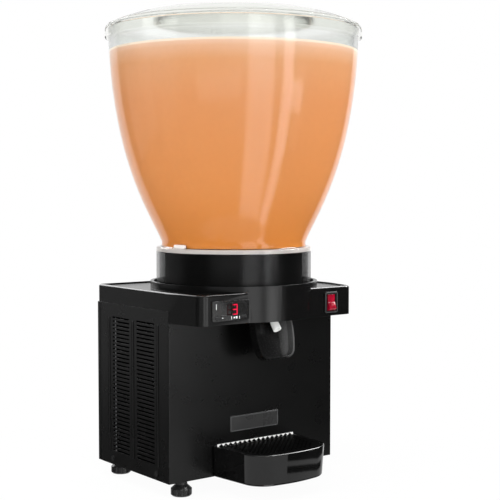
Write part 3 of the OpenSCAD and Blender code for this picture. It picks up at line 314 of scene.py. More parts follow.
redFinishes = {             # deep and bright tone, glow
    "rockerRed": ((96, 4, 22), (176, 10, 44), 0.12),
    "digitRed": ((96, 4, 22), (176, 10, 44), 1.6),
    "digitOff": ((26, 6, 7), (40, 9, 10), 0.0),
}
redPlastic = {"gloss": 0.12, "grain": 60, "detail": 2.0}
paintedLightSplits = {           # painted light and shade: a lit and a shaded tone left and right of an edge, its slant and where it starts and ends
    # painted glare on the thermostat's face: lighter on the left, darker on the right
    "labelGlare": ((44, 44, 44), (14, 14, 14), 0.95, (0.152, 0.168)),
    # painted light: the tap paddle lighter towards its right side, as if lit there
    "lever": ((9, 9, 9), (84, 84, 84), 0.0, (0.012, 0.032)),
}
paintedLightPlastic = {"shine": 0.4, "grain": 900, "gloss": (0.2, 0.3)}


def tone(red, green, blue):
    def linear(level):
        share = level / 255
        return share / 12.92 if share <= 0.04045 else ((share + 0.055) / 1.055) ** 2.4
    return (linear(red), linear(green), linear(blue), 1)


def newMaterial(name, sockets):
    material = bpy.data.materials.new(name)
    material.use_nodes = True
    shader = material.node_tree.nodes["Principled BSDF"]
    for socket, value in sockets.items():
        shader.inputs[socket].default_value = value
    return material, material.node_tree, shader


def objectNoise(tree, scale, detail):
    noise = tree.nodes.new("ShaderNodeTexNoise")
    noise.inputs["Scale"].default_value = scale
    noise.inputs["Detail"].default_value = detail
    tree.links.new(objectPlace(tree), noise.inputs["Vector"])
    return noise.outputs["Fac"]


def colourRamp(tree, share, stops):
    ramp = tree.nodes.new("ShaderNodeValToRGB")
    elements = ramp.color_ramp.elements
    while len(elements) < len(stops):
        elements.new(1.0)
    for element, (position, colour) in zip(elements, stops):
        element.position = position
        element.color = colour
    tree.links.new(share, ramp.inputs["Fac"])
    return ramp.outputs["Color"]


def blendTones(tree, share, first, second):
    return colourRamp(tree, share, tuple(zip(grainLook["span"], (first, second))))


def spread(tree, share, span, socket):
    tree.links.new(mapRange(tree, share, grainLook["span"], span).outputs["Result"], socket)


def relief(tree, shader, height, depth):
    bump = tree.nodes.new("ShaderNodeBump")
    bump.inputs["Distance"].default_value = depth * mm
    bump.inputs["Strength"].default_value = grainLook["bumpStrength"]
    tree.links.new(height, bump.inputs["Height"])
    tree.links.new(bump.outputs["Normal"], shader.inputs["Normal"])


def grainFinish(name, dark, light, grain, gloss, depth, sockets):
    material, tree, shader = newMaterial(name, sockets)
    fine = objectNoise(tree, grain, grainLook["fineDetail"])
    patches = objectNoise(tree, grain / grainLook["patchSize"], grainLook["softDetail"])
    tree.links.new(blendTones(tree, patches, tone(*dark), tone(*light)), shader.inputs["Base Color"])
    spread(tree, patches, gloss, shader.inputs["Roughness"])
    relief(tree, shader, fine, depth)
    return material


def clearFinish(name, look):
    material, tree, shader = newMaterial(name, {
        "Base Color": look["tint"], "Transmission Weight": 1.0, "IOR": look["index"]})
    smear = objectNoise(tree, look["smear"], grainLook["softDetail"])
    spread(tree, smear, look["gloss"], shader.inputs["Roughness"])
    relief(tree, shader, smear, look["waveDepth"])
    return material


def smokedFinish(name, look):
    material, tree, shader = newMaterial(name, {
        "Base Color": tone(*look["tone"]), "Alpha": look["share"], "Specular IOR Level": look["shine"]})
    smear = objectNoise(tree, look["smear"], grainLook["softDetail"])
    spread(tree, smear, look["gloss"], shader.inputs["Roughness"])
    return material


def juiceFinish(name, look):
    material, tree, shader = newMaterial(name, {
        "Roughness": look["gloss"], "Specular IOR Level": look["shine"]})
    split = tree.nodes.new("ShaderNodeSeparateXYZ")
    tree.links.new(objectPlace(tree), split.inputs[0])
    low, high = look["tones"][0][0], look["tones"][-1][0]
    rise = mapRange(tree, split.outputs["Z"], (low, high)).outputs["Result"]
    stops = [((height - low) / (high - low), tone(*colour)) for height, colour in look["tones"]]
    pulp = objectNoise(tree, look["pulp"], look["pulpDetail"])
    shade = tree.nodes.new("ShaderNodeMix")
    shade.data_type = "RGBA"
    shade.blend_type = "MULTIPLY"
    shade.inputs["Factor"].default_value = look["pulpShare"]
    tree.links.new(colourRamp(tree, rise, stops), shade.inputs["A"])
    tree.links.new(blendTones(tree, pulp, *look["pulpTones"]), shade.inputs["B"])
    tree.links.new(shade.outputs["Result"], shader.inputs["Base Color"])
    relief(tree, shader, pulp, look["pulpDepth"])
    return material


def redFinish(name, deep, bright, glow):
    material, tree, shader = newMaterial(name, {
        "Roughness": redPlastic["gloss"], "Emission Color": tone(*bright), "Emission Strength": glow})
    depth = objectNoise(tree, redPlastic["grain"], redPlastic["detail"])
    tree.links.new(blendTones(tree, depth, tone(*deep), tone(*bright)), shader.inputs["Base Color"])
    return material


# Paints light and shade: two tones split by a slanted edge
def paintedLightSplit(name, left, right, slant, edge):
    material, tree, shader = newMaterial(name, {"Specular IOR Level": paintedLightPlastic["shine"]})
    along = tree.nodes.new("ShaderNodeVectorMath")
    along.operation = "DOT_PRODUCT"
    along.inputs[1].default_value = (1.0, 0.0, slant)
    tree.links.new(objectPlace(tree), along.inputs[0])
    share = mapRange(tree, along.outputs["Value"], edge).outputs["Result"]
    tones = tree.nodes.new("ShaderNodeMix")
    tones.data_type = "RGBA"
    tones.inputs["A"].default_value = tone(*left)
    tones.inputs["B"].default_value = tone(*right)
    tree.links.new(share, tones.inputs["Factor"])
    tree.links.new(tones.outputs["Result"], shader.inputs["Base Color"])
    grain = objectNoise(tree, paintedLightPlastic["grain"], grainLook["fineDetail"])
    spread(tree, grain, paintedLightPlastic["gloss"], shader.inputs["Roughness"])
    return material


finish = {name: grainFinish(name, *values) for name, values in finishes.items()}
finish.update({name: clearFinish(name, look) for name, look in clearFinishes.items()})
finish.update({name: redFinish(name, *values) for name, values in redFinishes.items()})
finish.update({name: paintedLightSplit(name, *values) for name, values in paintedLightSplits.items()})
finish["collarClear"] = smokedFinish("collarClear", smokedPlastic)
finish["juice"] = juiceFinish("juice", juiceLook)
print("finishes made:", len(finish))


# Helpers that turn a mesh in the making into a piece

making = {
    "spinWeld": 1e-6,
    "solidWeld": 1e-5,
    "levelGap": 0.1 * mm,   # how far a corner may lie from a level and still count as on it
    "flatAngle": 0.5,       # degrees below which two faces of a solid are one
    "sharpAngle": 35,
    "softAngle": 32,
    "spinSteps": 160,
    "roundSteps": 6,
    "roundProfile": 0.5,
    "flatWeight": 100,
}


def addPiece(name, bm, body, material, replaced=()):
    piece = linkMesh(name, bm)
    piece.data.materials.append(material)
    piece.data.shade_smooth()
    piece.data.set_sharp_from_angle(angle=radians(making["sharpAngle"]))
    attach(piece, body)
    if replaced:
        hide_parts(*replaced)
    return piece


def softenEdges(piece, width, segments=3):
    bevel = piece.modifiers.new("softEdges", "BEVEL")
    bevel.width = width
    bevel.segments = segments
    bevel.limit_method = "ANGLE"
    bevel.angle_limit = radians(making["softAngle"])
    bevel.harden_normals = True


def flattenFaces(piece):
    flat = piece.modifiers.new("flatFaces", "WEIGHTED_NORMAL")
    flat.keep_sharp = True
    flat.weight = making["flatWeight"]


def solidCopy(node):
    bm = bmesh.new()
    bm.from_mesh(nodes[node].data)
    bmesh.ops.remove_doubles(bm, verts=bm.verts, dist=making["solidWeld"])
    bmesh.ops.dissolve_limit(bm, angle_limit=radians(making["flatAngle"]), verts=bm.verts, edges=bm.edges)
    return bm


def scaledCopy(node, factors, about=(0, 0, 0)):
    bm = solidCopy(node)
    shift = Matrix.Translation(about)
    bmesh.ops.transform(bm, matrix=shift @ Matrix.Diagonal((*factors, 1)) @ shift.inverted(), verts=bm.verts)
    return bm


def softNode(node, name, body, material, width, segments=3):
    piece = addPiece(name, solidCopy(node), body, material, (node,))
    softenEdges(piece, width, segments)


def mergeInto(bm, part):
    carrier = bpy.data.meshes.new("carrier")
    part.to_mesh(carrier)
    part.free()
    bm.from_mesh(carrier)
    bpy.data.meshes.remove(carrier)


def roundCorners(bm, corners, radius):
    bmesh.ops.bevel(bm, geom=corners, offset=radius, offset_type="OFFSET", affect="VERTICES",
                    segments=making["roundSteps"], profile=making["roundProfile"], material=-1)


def roundEdgesAt(bm, level, wanted, radius, steps):
    edges = [edge for edge in bm.edges
             if all(abs(v.co.z - level) < making["levelGap"] for v in edge.verts)
             and any(wanted(face) for face in edge.link_faces)]
    bmesh.ops.bevel(bm, geom=edges, offset=radius, offset_type="OFFSET", affect="EDGES", segments=steps,
                    profile=making["roundProfile"], material=-1)


def spinSolid(profile, rounds=(), steps=making["spinSteps"], about=(0, 0)):
    bm = bmesh.new()
    ring = [bm.verts.new((about[0] + r, about[1], z)) for r, z in profile]
    bm.faces.new(ring)
    for radius, picked in rounds:
        roundCorners(bm, [ring[k] for k in picked], radius)
    rim = list(bm.edges)
    bmesh.ops.delete(bm, geom=list(bm.faces), context="FACES_ONLY")
    bmesh.ops.spin(bm, geom=list(bm.verts) + rim, cent=(*about, 0), axis=(0, 0, 1), angle=tau, steps=steps,
                   use_merge=True)
    bmesh.ops.remove_doubles(bm, verts=bm.verts, dist=making["spinWeld"])
    bmesh.ops.dissolve_degenerate(bm, edges=bm.edges, dist=making["spinWeld"])
    bmesh.ops.recalc_face_normals(bm, faces=bm.faces)
    return bm


def ringProfile(inner, outer, low, high):
    return [(inner, low), (outer, low), (outer, high), (inner, high)]


def addBlock(bm, low, high):
    low, high = Vector(low), Vector(high)
    place = Matrix.Translation((low + high) / 2) @ Matrix.Diagonal((*(high - low), 1))
    bmesh.ops.create_cube(bm, size=1.0, matrix=place)


def frontFrame(low, high, face, look):
    bm = bmesh.new()
    outline = (low, (high[0], low[1]), high, (low[0], high[1]))
    corners = [bm.verts.new((x, face, z)) for x, z in outline]
    bm.faces.new(corners)
    roundCorners(bm, corners, look["round"])
    bm.normal_update()
    rim = bmesh.ops.inset_individual(bm, faces=list(bm.faces), thickness=look["line"],
                                     use_even_offset=True)["faces"]
    bmesh.ops.delete(bm, geom=[f for f in bm.faces if f not in rim], context="FACES_ONLY")
    grown = bmesh.ops.extrude_face_region(bm, geom=list(bm.faces))
    bmesh.ops.translate(bm, verts=[v for v in grown["geom"] if isinstance(v, bmesh.types.BMVert)],
                        vec=(0, -look["proud"], 0))
    bmesh.ops.recalc_face_normals(bm, faces=bm.faces)
    return bm


# Cabinet: painted sheets, bare plate and top cover

cabinetEdges = {"sheet": 0.5 * mm, "front": 1.0 * mm, "plate": 0.4 * mm, "sheetSegments": 2}
for side in ("left", "right"):
    softNode(f"{side}_side_panel", f"{side}Louvres", "cabinet", finish["sheetBlack"],
             cabinetEdges["sheet"], cabinetEdges["sheetSegments"])
softNode("front_panel", "frontSheet", "cabinet", finish["sheetBlack"], cabinetEdges["front"])
softNode("back_panel", "backSheet", "cabinet", finish["sheetBlack"], cabinetEdges["sheet"],
         cabinetEdges["sheetSegments"])
softNode("name_plate", "barePlate", "cabinet", finish["plateBlack"], cabinetEdges["plate"])

coverLook = {
    "topZ": 0.288,
    "topRound": 3.4 * mm,
    "roundSteps": 4,
    "wallFoot": 0.283,                # faces that reach below this are the rim's outer walls
    "edge": 1.0 * mm,
    "cutsX": (-0.125, 0.0, 0.125),    # planes that split the ring-shaped rim into plain faces
    "cutsY": (-0.07, 0.02, 0.11),
}


def addCover(look):
    bm = solidCopy("top_cover")
    cuts = [((x, 0, 0), (1, 0, 0)) for x in look["cutsX"]] + [((0, y, 0), (0, 1, 0)) for y in look["cutsY"]]
    for place, way in cuts:
        bmesh.ops.bisect_plane(bm, geom=bm.verts[:] + bm.edges[:] + bm.faces[:], plane_co=place, plane_no=way)

    def isWall(face):
        return min(v.co.z for v in face.verts) < look["wallFoot"]

    roundEdgesAt(bm, look["topZ"], isWall, look["topRound"], look["roundSteps"])
    piece = addPiece("coverMoulding", bm, "cabinet", finish["coverBlack"], ("top_cover",))
    softenEdges(piece, look["edge"])
    flattenFaces(piece)


addCover(coverLook)

panelRibs = {               # beads between the louvres with painted shade beside them, a dark joint line at the back fold, a grey bar seen through the rear column, and a black sheet behind the louvres as painted shade
    "face": 0.148,
    "upright": (0.041, 0.241),
    "rooted": 0.1 * mm,     # depth by which the dark lines and beads enter the sheet
    "middles": (0.1105, 0.0445, -0.0208),
    # painted shade: dark strips on both sides of each bead
    "beadShadeAt": 2.75 * mm,
    "beadShadeWide": 1.7 * mm,
    "darkLineProud": 0.06 * mm,
    "beadWide": 3.4 * mm,
    "beadProud": 0.45 * mm,
    "beadRound": 0.4 * mm,
    # a dark joint line at the back fold
    "foldAt": 0.1362,
    "foldWide": 1.5 * mm,
    "foldUpright": (0.0235, 0.2615),
    # a grey bar seen through the slots of the rear column
    "bar": (0.0938, 0.0963),
    "barDepth": (-2.4 * mm, -1.6 * mm),
    # painted shade: a black sheet behind the louvres keeps the slots dark
    "mat": (-0.015, 0.103),
    "shadeSheetDepth": (-3.0 * mm, -2.6 * mm),
    "shadeSheetUpright": (0.039, 0.243),
}


def addRibs(side, look):
    outward = -1 if side == "left" else 1

    def slab(bm, depths, along, upright):
        near, far = sorted(outward * (look["face"] + depth) for depth in depths)
        addBlock(bm, (near, along[0], upright[0]), (far, along[1], upright[1]))

    def strip(bm, y, wide, proud, upright):
        slab(bm, (-look["rooted"], proud), (y - wide / 2, y + wide / 2), upright)

    darkLines, beads, bar, mat = bmesh.new(), bmesh.new(), bmesh.new(), bmesh.new()
    for y in look["middles"]:
        # painted shade on both sides of each bead
        for turn in (-1, 1):
            strip(darkLines, y + turn * look["beadShadeAt"], look["beadShadeWide"], look["darkLineProud"], look["upright"])
        strip(beads, y, look["beadWide"], look["beadProud"], look["upright"])
    strip(darkLines, look["foldAt"], look["foldWide"], look["darkLineProud"], look["foldUpright"])
    slab(bar, look["barDepth"], look["bar"], look["upright"])
    slab(mat, look["shadeSheetDepth"], look["mat"], look["shadeSheetUpright"])
    # the dark lines beside the beads are painted shade; the one at the back fold is a joint
    addPiece(f"{side}ShadeAndJointLines", darkLines, "cabinet", finish["shadeAndJointBlack"])
    beadPiece = addPiece(f"{side}Beads", beads, "cabinet", finish["sheetBlack"])
    softenEdges(beadPiece, look["beadRound"])
    addPiece(f"{side}GreyBar", bar, "cabinet", finish["barGrey"])
    addPiece(f"{side}ShadeSheet", mat, "cabinet", finish["slotShadeBlack"])


for side in ("left", "right"):
    addRibs(side, panelRibs)

plateBorder = {"inset": 0.9 * mm, "round": 2.6 * mm, "line": 0.8 * mm, "proud": 0.12 * mm}


def addPlateBorder(look):
    low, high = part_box("name_plate")
    inset = look["inset"]
    bm = frontFrame((low.x + inset, low.z + inset), (high.x - inset, high.z - inset), low.y, look)
    addPiece("plateBorder", bm, "cabinet", finish["trimGrey"])


addPlateBorder(plateBorder)
print("cabinet made")


# Controls: thermostat, rocker switch and keys

controlEdges = {"thermostat": 0.5 * mm, "switch": 0.6 * mm, "key": 0.3 * mm, "window": 0.3 * mm}
# the thermostat's face carries a painted glare
softNode("thermostat_housing", "thermostatBezel", "cabinet", finish["labelGlare"],
         controlEdges["thermostat"])
softNode("switch_housing", "switchBezel", "cabinet", finish["bezelBlack"],
         controlEdges["switch"])

rockerLook = {"narrow": 0.78, "round": 0.6 * mm}
rockerLow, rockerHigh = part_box("rocker")
rockerX = (rockerLow.x + rockerHigh.x) / 2


def addRocker(look):
    bm = scaledCopy("rocker", (look["narrow"], 1, 1), (rockerX, 0, 0))
    piece = addPiece("redRocker", bm, "power_rocker", finish["rockerRed"], ("rocker",))
    softenEdges(piece, look["round"])


addRocker(rockerLook)
softNode("set_key", "setKey", "key_left", finish["keyGrey"], controlEdges["key"])
softNode("arrow_key", "arrowKey", "key_right", finish["keyGrey"], controlEdges["key"])
# the display carries the same painted glare
softNode("display_window", "displayGlass", "cabinet", finish["labelGlare"], controlEdges["window"])

digitShape = {
    "left": -0.0852,
    "right": -0.0768,
    "low": 0.2592,
    "high": 0.2742,
    "stroke": 1.9 * mm,
    "gap": 0.25 * mm,
    "proud": 0.12 * mm,
    "rooted": 0.05 * mm,    # depth by which digits and signs enter the display's face
    "step": -0.0094,        # from the lit digit to the unlit one
    "litBars": ("top", "middle", "foot", "rightHigh", "rightLow"),
    "unlitBars": ("leftHigh", "leftLow"),
}
displayMarks = (            # tick and small signs: left, low, right, high in metres
    (-0.1130, 0.2680, -0.1122, 0.2756),
    (-0.1128, 0.2556, -0.1084, 0.2564),
    (-0.1072, 0.2552, -0.1048, 0.2570),
    (-0.1040, 0.2556, -0.1012, 0.2566),
    (-0.0876, 0.2536, -0.0868, 0.2576),
    (-0.0836, 0.2546, -0.0812, 0.2568),
    (-0.0800, 0.2542, -0.0772, 0.2574),
    (-0.0740, 0.2534, -0.0732, 0.2574),
    (-0.0686, 0.2550, -0.0664, 0.2558),
    (-0.0652, 0.2550, -0.0630, 0.2558),
)


def addDisplay(shape, marks):
    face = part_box("thermostat_housing")[0].y
    front, back = face - shape["proud"], face + shape["rooted"]

    def digitBars(bm, shift, wanted):
        left, right = shape["left"] + shift, shape["right"] + shift
        low, high, stroke, gap = shape["low"], shape["high"], shape["stroke"], shape["gap"]
        half = (low + high) / 2
        bars = {
            "top": (left, high - stroke, right, high),
            "middle": (left, half - stroke / 2, right, half + stroke / 2),
            "foot": (left, low, right, low + stroke),
            "rightHigh": (right - stroke, half, right, high),
            "rightLow": (right - stroke, low, right, half),
            "leftHigh": (left, half, left + stroke, high),
            "leftLow": (left, low, left + stroke, half),
        }
        for bar in wanted:
            x0, z0, x1, z1 = bars[bar]
            addBlock(bm, (x0 + gap, front, z0 + gap), (x1 - gap, back, z1 - gap))

    lit, unlit, signs = bmesh.new(), bmesh.new(), bmesh.new()
    digitBars(lit, 0, shape["litBars"])
    digitBars(unlit, 0, shape["unlitBars"])
    digitBars(unlit, shape["step"], shape["litBars"] + shape["unlitBars"])
    for x0, z0, x1, z1 in marks:
        addBlock(signs, (x0, front, z0), (x1, back, z1))
    addPiece("displayDigit", lit, "cabinet", finish["digitRed"])
    addPiece("displayUnlit", unlit, "cabinet", finish["digitOff"])
    addPiece("displaySigns", signs, "cabinet", finish["markWhite"])


switchTrim = {
    "middle": 0.2655,
    "half": (0.0116, 0.0146),
    "round": 2.6 * mm,
    "line": 0.9 * mm,
    "proud": 0.15 * mm,
}


def addSwitchTrim(look):
    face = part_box("switch_housing")[0].y
    halfX, halfZ = look["half"]
    low = (rockerX - halfX, look["middle"] - halfZ)
    high = (rockerX + halfX, look["middle"] + halfZ)
    bm = frontFrame(low, high, face, look)
    addPiece("switchTrim", bm, "cabinet", finish["switchTrim"])


addDisplay(digitShape, displayMarks)
addSwitchTrim(switchTrim)
print("controls made")


# Bowl, lid and juice, all spun about the stirrer's axis

bowlShape = {
    "hole": 0.078,
    "floorLow": 0.3393,
    "floorTop": 0.346,
    "collar": 0.114,
    "collarWall": 0.0045,
    "collarRound": 1.2 * mm,
    "neck": 0.106,
    "neckTop": 0.353,
    "neckPull": (0.0145, 0.0378),
    "rimPull": (0.0054, 0.1867),
    "rimBand": 0.009,
    "wall": 0.004,
    "curveSteps": 40,
    "footRound": 2.2 * mm,
    "rimRound": 1.4 * mm,
    "outlet": (0, -0.0935),
    "nipple": (0.003, 0.0042),
    "nippleFoot": 0.3173,
    "nippleRoot": 0.2 * mm,
    "nippleSteps": 32,
    "frostInset": (1.0 * mm, 0.5 * mm, 0.7 * mm, 0.6 * mm),     # inside, outside, low, high
}
bowlLow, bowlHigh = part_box("bowl")


def wallCurve(shape, inset):
    start = Vector((shape["neck"] - inset, shape["neckTop"], 0))
    end = Vector((bowlHigh.x - inset, bowlHigh.z - shape["rimBand"], 0))
    leave = start + Vector((*shape["neckPull"], 0))
    arrive = end - Vector((*shape["rimPull"], 0))
    return [(p.x, p.y) for p in interpolate_bezier(start, leave, arrive, end, shape["curveSteps"])]


def addBowl(shape):
    neck, collar, wall = shape["neck"], shape["collar"], shape["wall"]
    floorLow, floorTop = shape["floorLow"], shape["floorTop"]
    foot = [(shape["hole"], floorLow), (collar, floorLow), (collar, floorTop), (neck, floorTop)]
    outer = wallCurve(shape, 0) + [(bowlHigh.x, bowlHigh.z)]
    inner = [(bowlHigh.x - wall, bowlHigh.z)] + wallCurve(shape, wall)[::-1]
    close = [(neck - wall, floorTop), (shape["hole"], floorTop)]
    rimOut = len(foot) + len(outer) - 1
    rounds = ((shape["footRound"], (2, 3)), (shape["rimRound"], (rimOut, rimOut + 1)))
    bm = spinSolid(foot + outer + inner + close, rounds)
    addPiece("clearBowl", bm, "bowl_body", finish["clear"], ("bowl",))

    sleeve = ringProfile(collar - shape["collarWall"], collar, bowlLow.z, floorLow)
    bm = spinSolid(sleeve, ((shape["collarRound"], (0, 1)),))
    addPiece("clearCollar", bm, "bowl_body", finish["collarClear"])

    tube = ringProfile(*shape["nipple"], shape["nippleFoot"], floorLow + shape["nippleRoot"])
    bm = spinSolid(tube, steps=shape["nippleSteps"], about=shape["outlet"])
    addPiece("clearNipple", bm, "bowl_body", finish["clear"])

    inside, outside, low, high = shape["frostInset"]
    band = ringProfile(neck + inside, collar - outside, floorLow + low, floorTop - high)
    addPiece("frostedRing", spinSolid(band), "bowl_body", finish["frost"])


bowlLugs = {
    "azimuths": (-80, 100),
    "long": 0.022,
    "from": 0.1075,
    "to": 0.1132,
    "high": 0.0058,
    "sunk": 0.3 * mm,
    "round": 2.2 * mm,
    "segments": 4,
}


def addLugs(shape, bowl):
    bm = bmesh.new()
    for azimuth in shape["azimuths"]:
        lug = bmesh.new()
        addBlock(lug, (-shape["long"] / 2, -shape["to"], bowl["floorTop"] - shape["sunk"]),
                 (shape["long"] / 2, -shape["from"], bowl["floorTop"] + shape["high"]))
        turn = Matrix.Rotation(radians(azimuth), 3, "Z")
        bmesh.ops.rotate(lug, verts=lug.verts, cent=(0, 0, 0), matrix=turn)
        mergeInto(bm, lug)
    piece = addPiece("bowlLugs", bm, "bowl_body", finish["frost"])
    softenEdges(piece, shape["round"], shape["segments"])


juiceShape = {
    "hole": 0.0775,
    "gap": 0.0004,
    "skin": 0.0008,         # clear layer outside the juice, as thin as refraction makes the wall look
    "top": 0.628,
    "topOver": 0.2 * mm,
    "hollowTop": 0.45,
    "foamWide": 0.004,
    "foamHigh": 0.0018,
    "foamDip": 0.0012,
    "foamOver": 0.1 * mm,
    "foamRound": 0.6 * mm,
}


def addJuice(shape, bowl):
    top = shape["top"]
    wall = [p for p in wallCurve(bowl, shape["skin"]) if p[1] < top]
    bottom = bowl["floorTop"] + shape["gap"]
    edge = wall[-1][0] + shape["topOver"]
    foot = [(shape["hole"], bottom), (bowl["neck"] - shape["skin"], bottom)]
    close = [(edge, top), (0, top), (0, shape["hollowTop"]), (shape["hole"], shape["hollowTop"])]
    addPiece("orangeJuice", spinSolid(foot + wall + close), "bowl_body", finish["juice"])
    foamTop = top + shape["foamHigh"]
    foam = [(edge - shape["foamWide"], top), (edge, top - shape["foamDip"]),
            (edge + shape["foamOver"], foamTop), (edge - shape["foamWide"] / 2, foamTop)]
    bm = spinSolid(foam, ((shape["foamRound"], (3,)),))
    addPiece("juiceFoam", bm, "bowl_body", finish["creamFoam"])


lidShape = {
    "plugSlack": 0.0048,
    "rimSlack": 0.0008,
    "seatGap": 0.0003,
    "thick": 0.003,
    "lap": 0.013,
    "skirt": 0.010,
    "skirtRound": 1.2 * mm,
    "shoulder": (0.008, 0.009),
    "turn": 65,
    "crestSlope": 0.18,
    "crestRound": 1.6 * mm,
    "dish": 0.119,
    "dishDepth": 0.013,
    "dishRound": 1.0 * mm,
    "cove": 0.004,
    "steps": 14,
    "inlay": (0.1125, 0.6700, 0.6706),      # radius, low, high
    "lines": ((0.1178, 0.6735), (0.1128, 0.6705), (0.1835, 0.6625), (0.1775, 0.6672)),
    "lineHalf": 0.6 * mm,                   # of the lines, painted rings that stand for the light and shade on the lid's edges
}
lidLow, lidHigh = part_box("lid")


def addLid(shape):
    plug = bowlHigh.x - shape["plugSlack"]
    foot = bowlHigh.z - shape["lap"]
    skirtIn = bowlHigh.x + shape["rimSlack"]
    seat = bowlHigh.z + shape["seatGap"]
    thick, steps, dish, slope = shape["thick"], shape["steps"], shape["dish"], shape["crestSlope"]
    wide, tall = shape["shoulder"]
    turns = [radians(shape["turn"] * k / steps) for k in range(steps + 1)]
    shoulder = [(lidHigh.x - wide * (1 - cos(a)), foot + shape["skirt"] + tall * sin(a)) for a in turns]
    footR, footZ = shoulder[-1]
    drop = lidHigh.z - footZ - slope * (footR - dish)

    def dome(fromR, toR, inset):
        radii = [fromR + (toR - fromR) * k / steps for k in range(steps + 1)]
        return [(r, lidHigh.z - slope * (r - dish) - drop * ((r - dish) / (footR - dish)) ** 2 - inset)
                for r in radii]

    dishZ = lidHigh.z - shape["dishDepth"]
    dishIn = dish - thick
    plugIn = plug - thick
    skirt = [(plug, lidLow.z), (plug, seat), (skirtIn, seat), (skirtIn, foot), (lidHigh.x, foot)]
    crown = shoulder + dome(footR - thick, dish, 0)
    sunk = [(dishIn + thick / 2, dishZ), (0, dishZ), (0, dishZ - thick), (dishIn - thick / 2, dishZ - thick)]
    under = dome(dish + thick, plugIn - shape["cove"], thick)
    close = [(plugIn, under[-1][1] - shape["cove"]), (plugIn, lidLow.z)]
    crest = len(skirt) + len(crown) - 1
    rounds = ((shape["skirtRound"], (3, 4)), (shape["crestRound"], (crest, crest + 1)),
              (shape["dishRound"], (crest + 4, crest + 5)))
    bm = spinSolid(skirt + crown + sunk + under + close, rounds)
    addPiece("clearLid", bm, "lid_body", finish["lidClear"], ("lid",))

    # painted light and shade: grey rings along the lid's edges
    lines = bmesh.new()
    half = shape["lineHalf"]
    for radius, height in shape["lines"]:
        mergeInto(lines, spinSolid(ringProfile(radius - half, radius + half, height - half, height + half)))
    addPiece("paintedLidEdges", lines, "lid_body", finish["paintedLidEdge"])

    inlay = spinSolid(ringProfile(0, *shape["inlay"]))
    addPiece("lidInlay", inlay, "lid_body", finish["lidClear"])


turretLook = {"narrow": 0.96, "round": 1.0 * mm}    # as narrow as refraction in the collar shows it


def addTurret(look):
    bm = scaledCopy("turret", (look["narrow"], look["narrow"], 1))
    piece = addPiece("turretShell", bm, "cabinet", finish["turretBlack"], ("turret",))
    softenEdges(piece, look["round"])


addBowl(bowlShape)
addLugs(bowlLugs, bowlShape)
addJuice(juiceShape, bowlShape)
addLid(lidShape)
addTurret(turretLook)
print("bowl, juice and lid made")


# Tap, tray and feet

lowEdges = {"lever": 1.0 * mm, "grille": 0.3 * mm, "grilleSegments": 1, "foot": 0.7 * mm}
# the paddle carries painted light on its right side
softNode("tap_lever", "tapPaddle", "tap", finish["lever"], lowEdges["lever"])
softNode("drip_grille", "trayGrille", "grille", finish["grilleBlack"], lowEdges["grille"],
         lowEdges["grilleSegments"])
for foot in ("front_left", "front_right", "rear_left", "rear_right"):
    footPiece = "foot." + foot.replace("_", ".")
    footBody = "foot_" + "".join(word[0] for word in foot.split("_"))
    softNode("foot_" + foot, footPiece, footBody, finish["footBlack"], lowEdges["foot"])

trayLook = {
    "foot": 0.022,
    "footRound": 3 * mm,
    "roundSteps": 6,
    "wallLean": (-0.5, -0.02),      # how far the outer walls' normals point down
    "edge": 1.2 * mm,
}


def addTray(look):
    bm = solidCopy("drip_tray")
    bm.normal_update()
    low, high = look["wallLean"]

    def isWall(face):
        return low < face.normal.z < high

    roundEdgesAt(bm, look["foot"], isWall, look["footRound"], look["roundSteps"])
    piece = addPiece("trayMoulding", bm, "tray", finish["trayBlack"], ("drip_tray",))
    softenEdges(piece, look["edge"])
    flattenFaces(piece)


addTray(trayLook)

teethShape = {              # white lip on the tray's back wall as a painted highlight, and the grille's toothed edge before it
    "half": 0.0695,
    "lipBack": -0.05375,
    "lipFront": -0.05405,
    "lipLow": 0.0638,
    "lipHigh": 0.0686,
    "pitch": 8.4 * mm,
    "toothAt": -0.0546,
    "toothThick": 0.4 * mm,
    "toothLow": 0.0649,
    "toothHigh": 0.0686,
}
triangleWide, triangleTall = 3 ** 0.5, 1.5      # of a triangle whose corners lie on a circle of radius 1


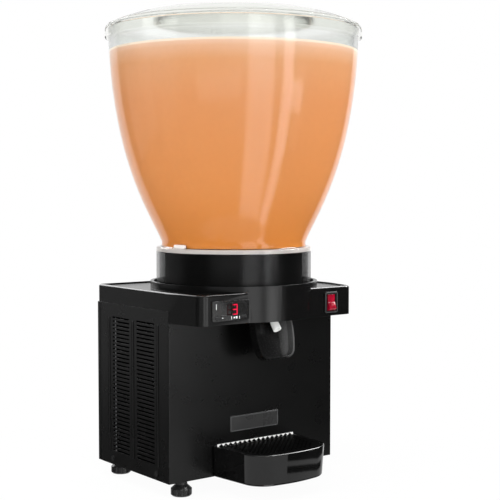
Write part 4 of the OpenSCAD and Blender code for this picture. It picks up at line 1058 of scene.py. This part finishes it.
def addTeeth(shape):
    lip, teeth = bmesh.new(), bmesh.new()
    addBlock(lip, (-shape["half"], shape["lipFront"], shape["lipLow"]),
             (shape["half"], shape["lipBack"], shape["lipHigh"]))
    # painted highlight: the lip is plain white where the back edge catches the light
    addPiece("trayLipGlint", lip, "tray", finish["lipGlintWhite"])
    tall = shape["toothHigh"] - shape["toothLow"]
    count = int(2 * shape["half"] / shape["pitch"])
    size = Matrix.Diagonal((shape["pitch"] / triangleWide, tall / triangleTall, 1, 1))
    stand = Matrix.Rotation(pi / 2, 4, "X")
    for k in range(count):
        x = (k - (count - 1) / 2) * shape["pitch"]
        place = Matrix.Translation((x, shape["toothAt"], shape["toothLow"] + tall / 3))
        bmesh.ops.create_cone(teeth, cap_ends=True, segments=3, radius1=1, radius2=1,
                              depth=shape["toothThick"], matrix=place @ stand @ size)
    addPiece("grilleTeeth", teeth, "grille", finish["grilleBlack"])


addTeeth(teethShape)
print("tap, tray and feet made")


# Finishes of the solids that stay as they are

innerFinishes = {
    "zinc": ("base_pan", "corner_posts", "top_deck", "foot_nuts", "tap_bracket", "drier_clip", "fan_bracket"),
    "screwSteel": ("panel_screws",),
    "hangerBright": ("tray_hanger",),
    "whitePlastic": ("outlet_tube", "agitator", "agitator_cap", "terminal_block", "fan_blade"),
    "stainless": ("evaporator", "drive_shaft", "tap_pin", "tap_spring"),
    "copper": ("evaporator_coil", "filter_drier", "discharge_line", "liquid_line", "capillary_tube",
               "suction_line"),
    "bronze": ("shaft_bush",),
    "foam": ("turret_insulation",),
    "whiteRubber": ("bowl_seal",),
    "blackRubber": ("shaft_seal", "compressor_grommets"),
    "castAluminium": ("gearbox",),
    "finBlack": ("condenser",),
    "motorGrey": ("drive_motor", "fan_motor"),
    "bezelBlack": ("relay_box", "cable_gland", "fan_shroud"),
    "footBlack": ("compressor",),
}
for look, members in innerFinishes.items():
    for node in members:
        nodes[node].data.materials.clear()
        nodes[node].data.materials.append(finish[look])
print("inner solids finished")
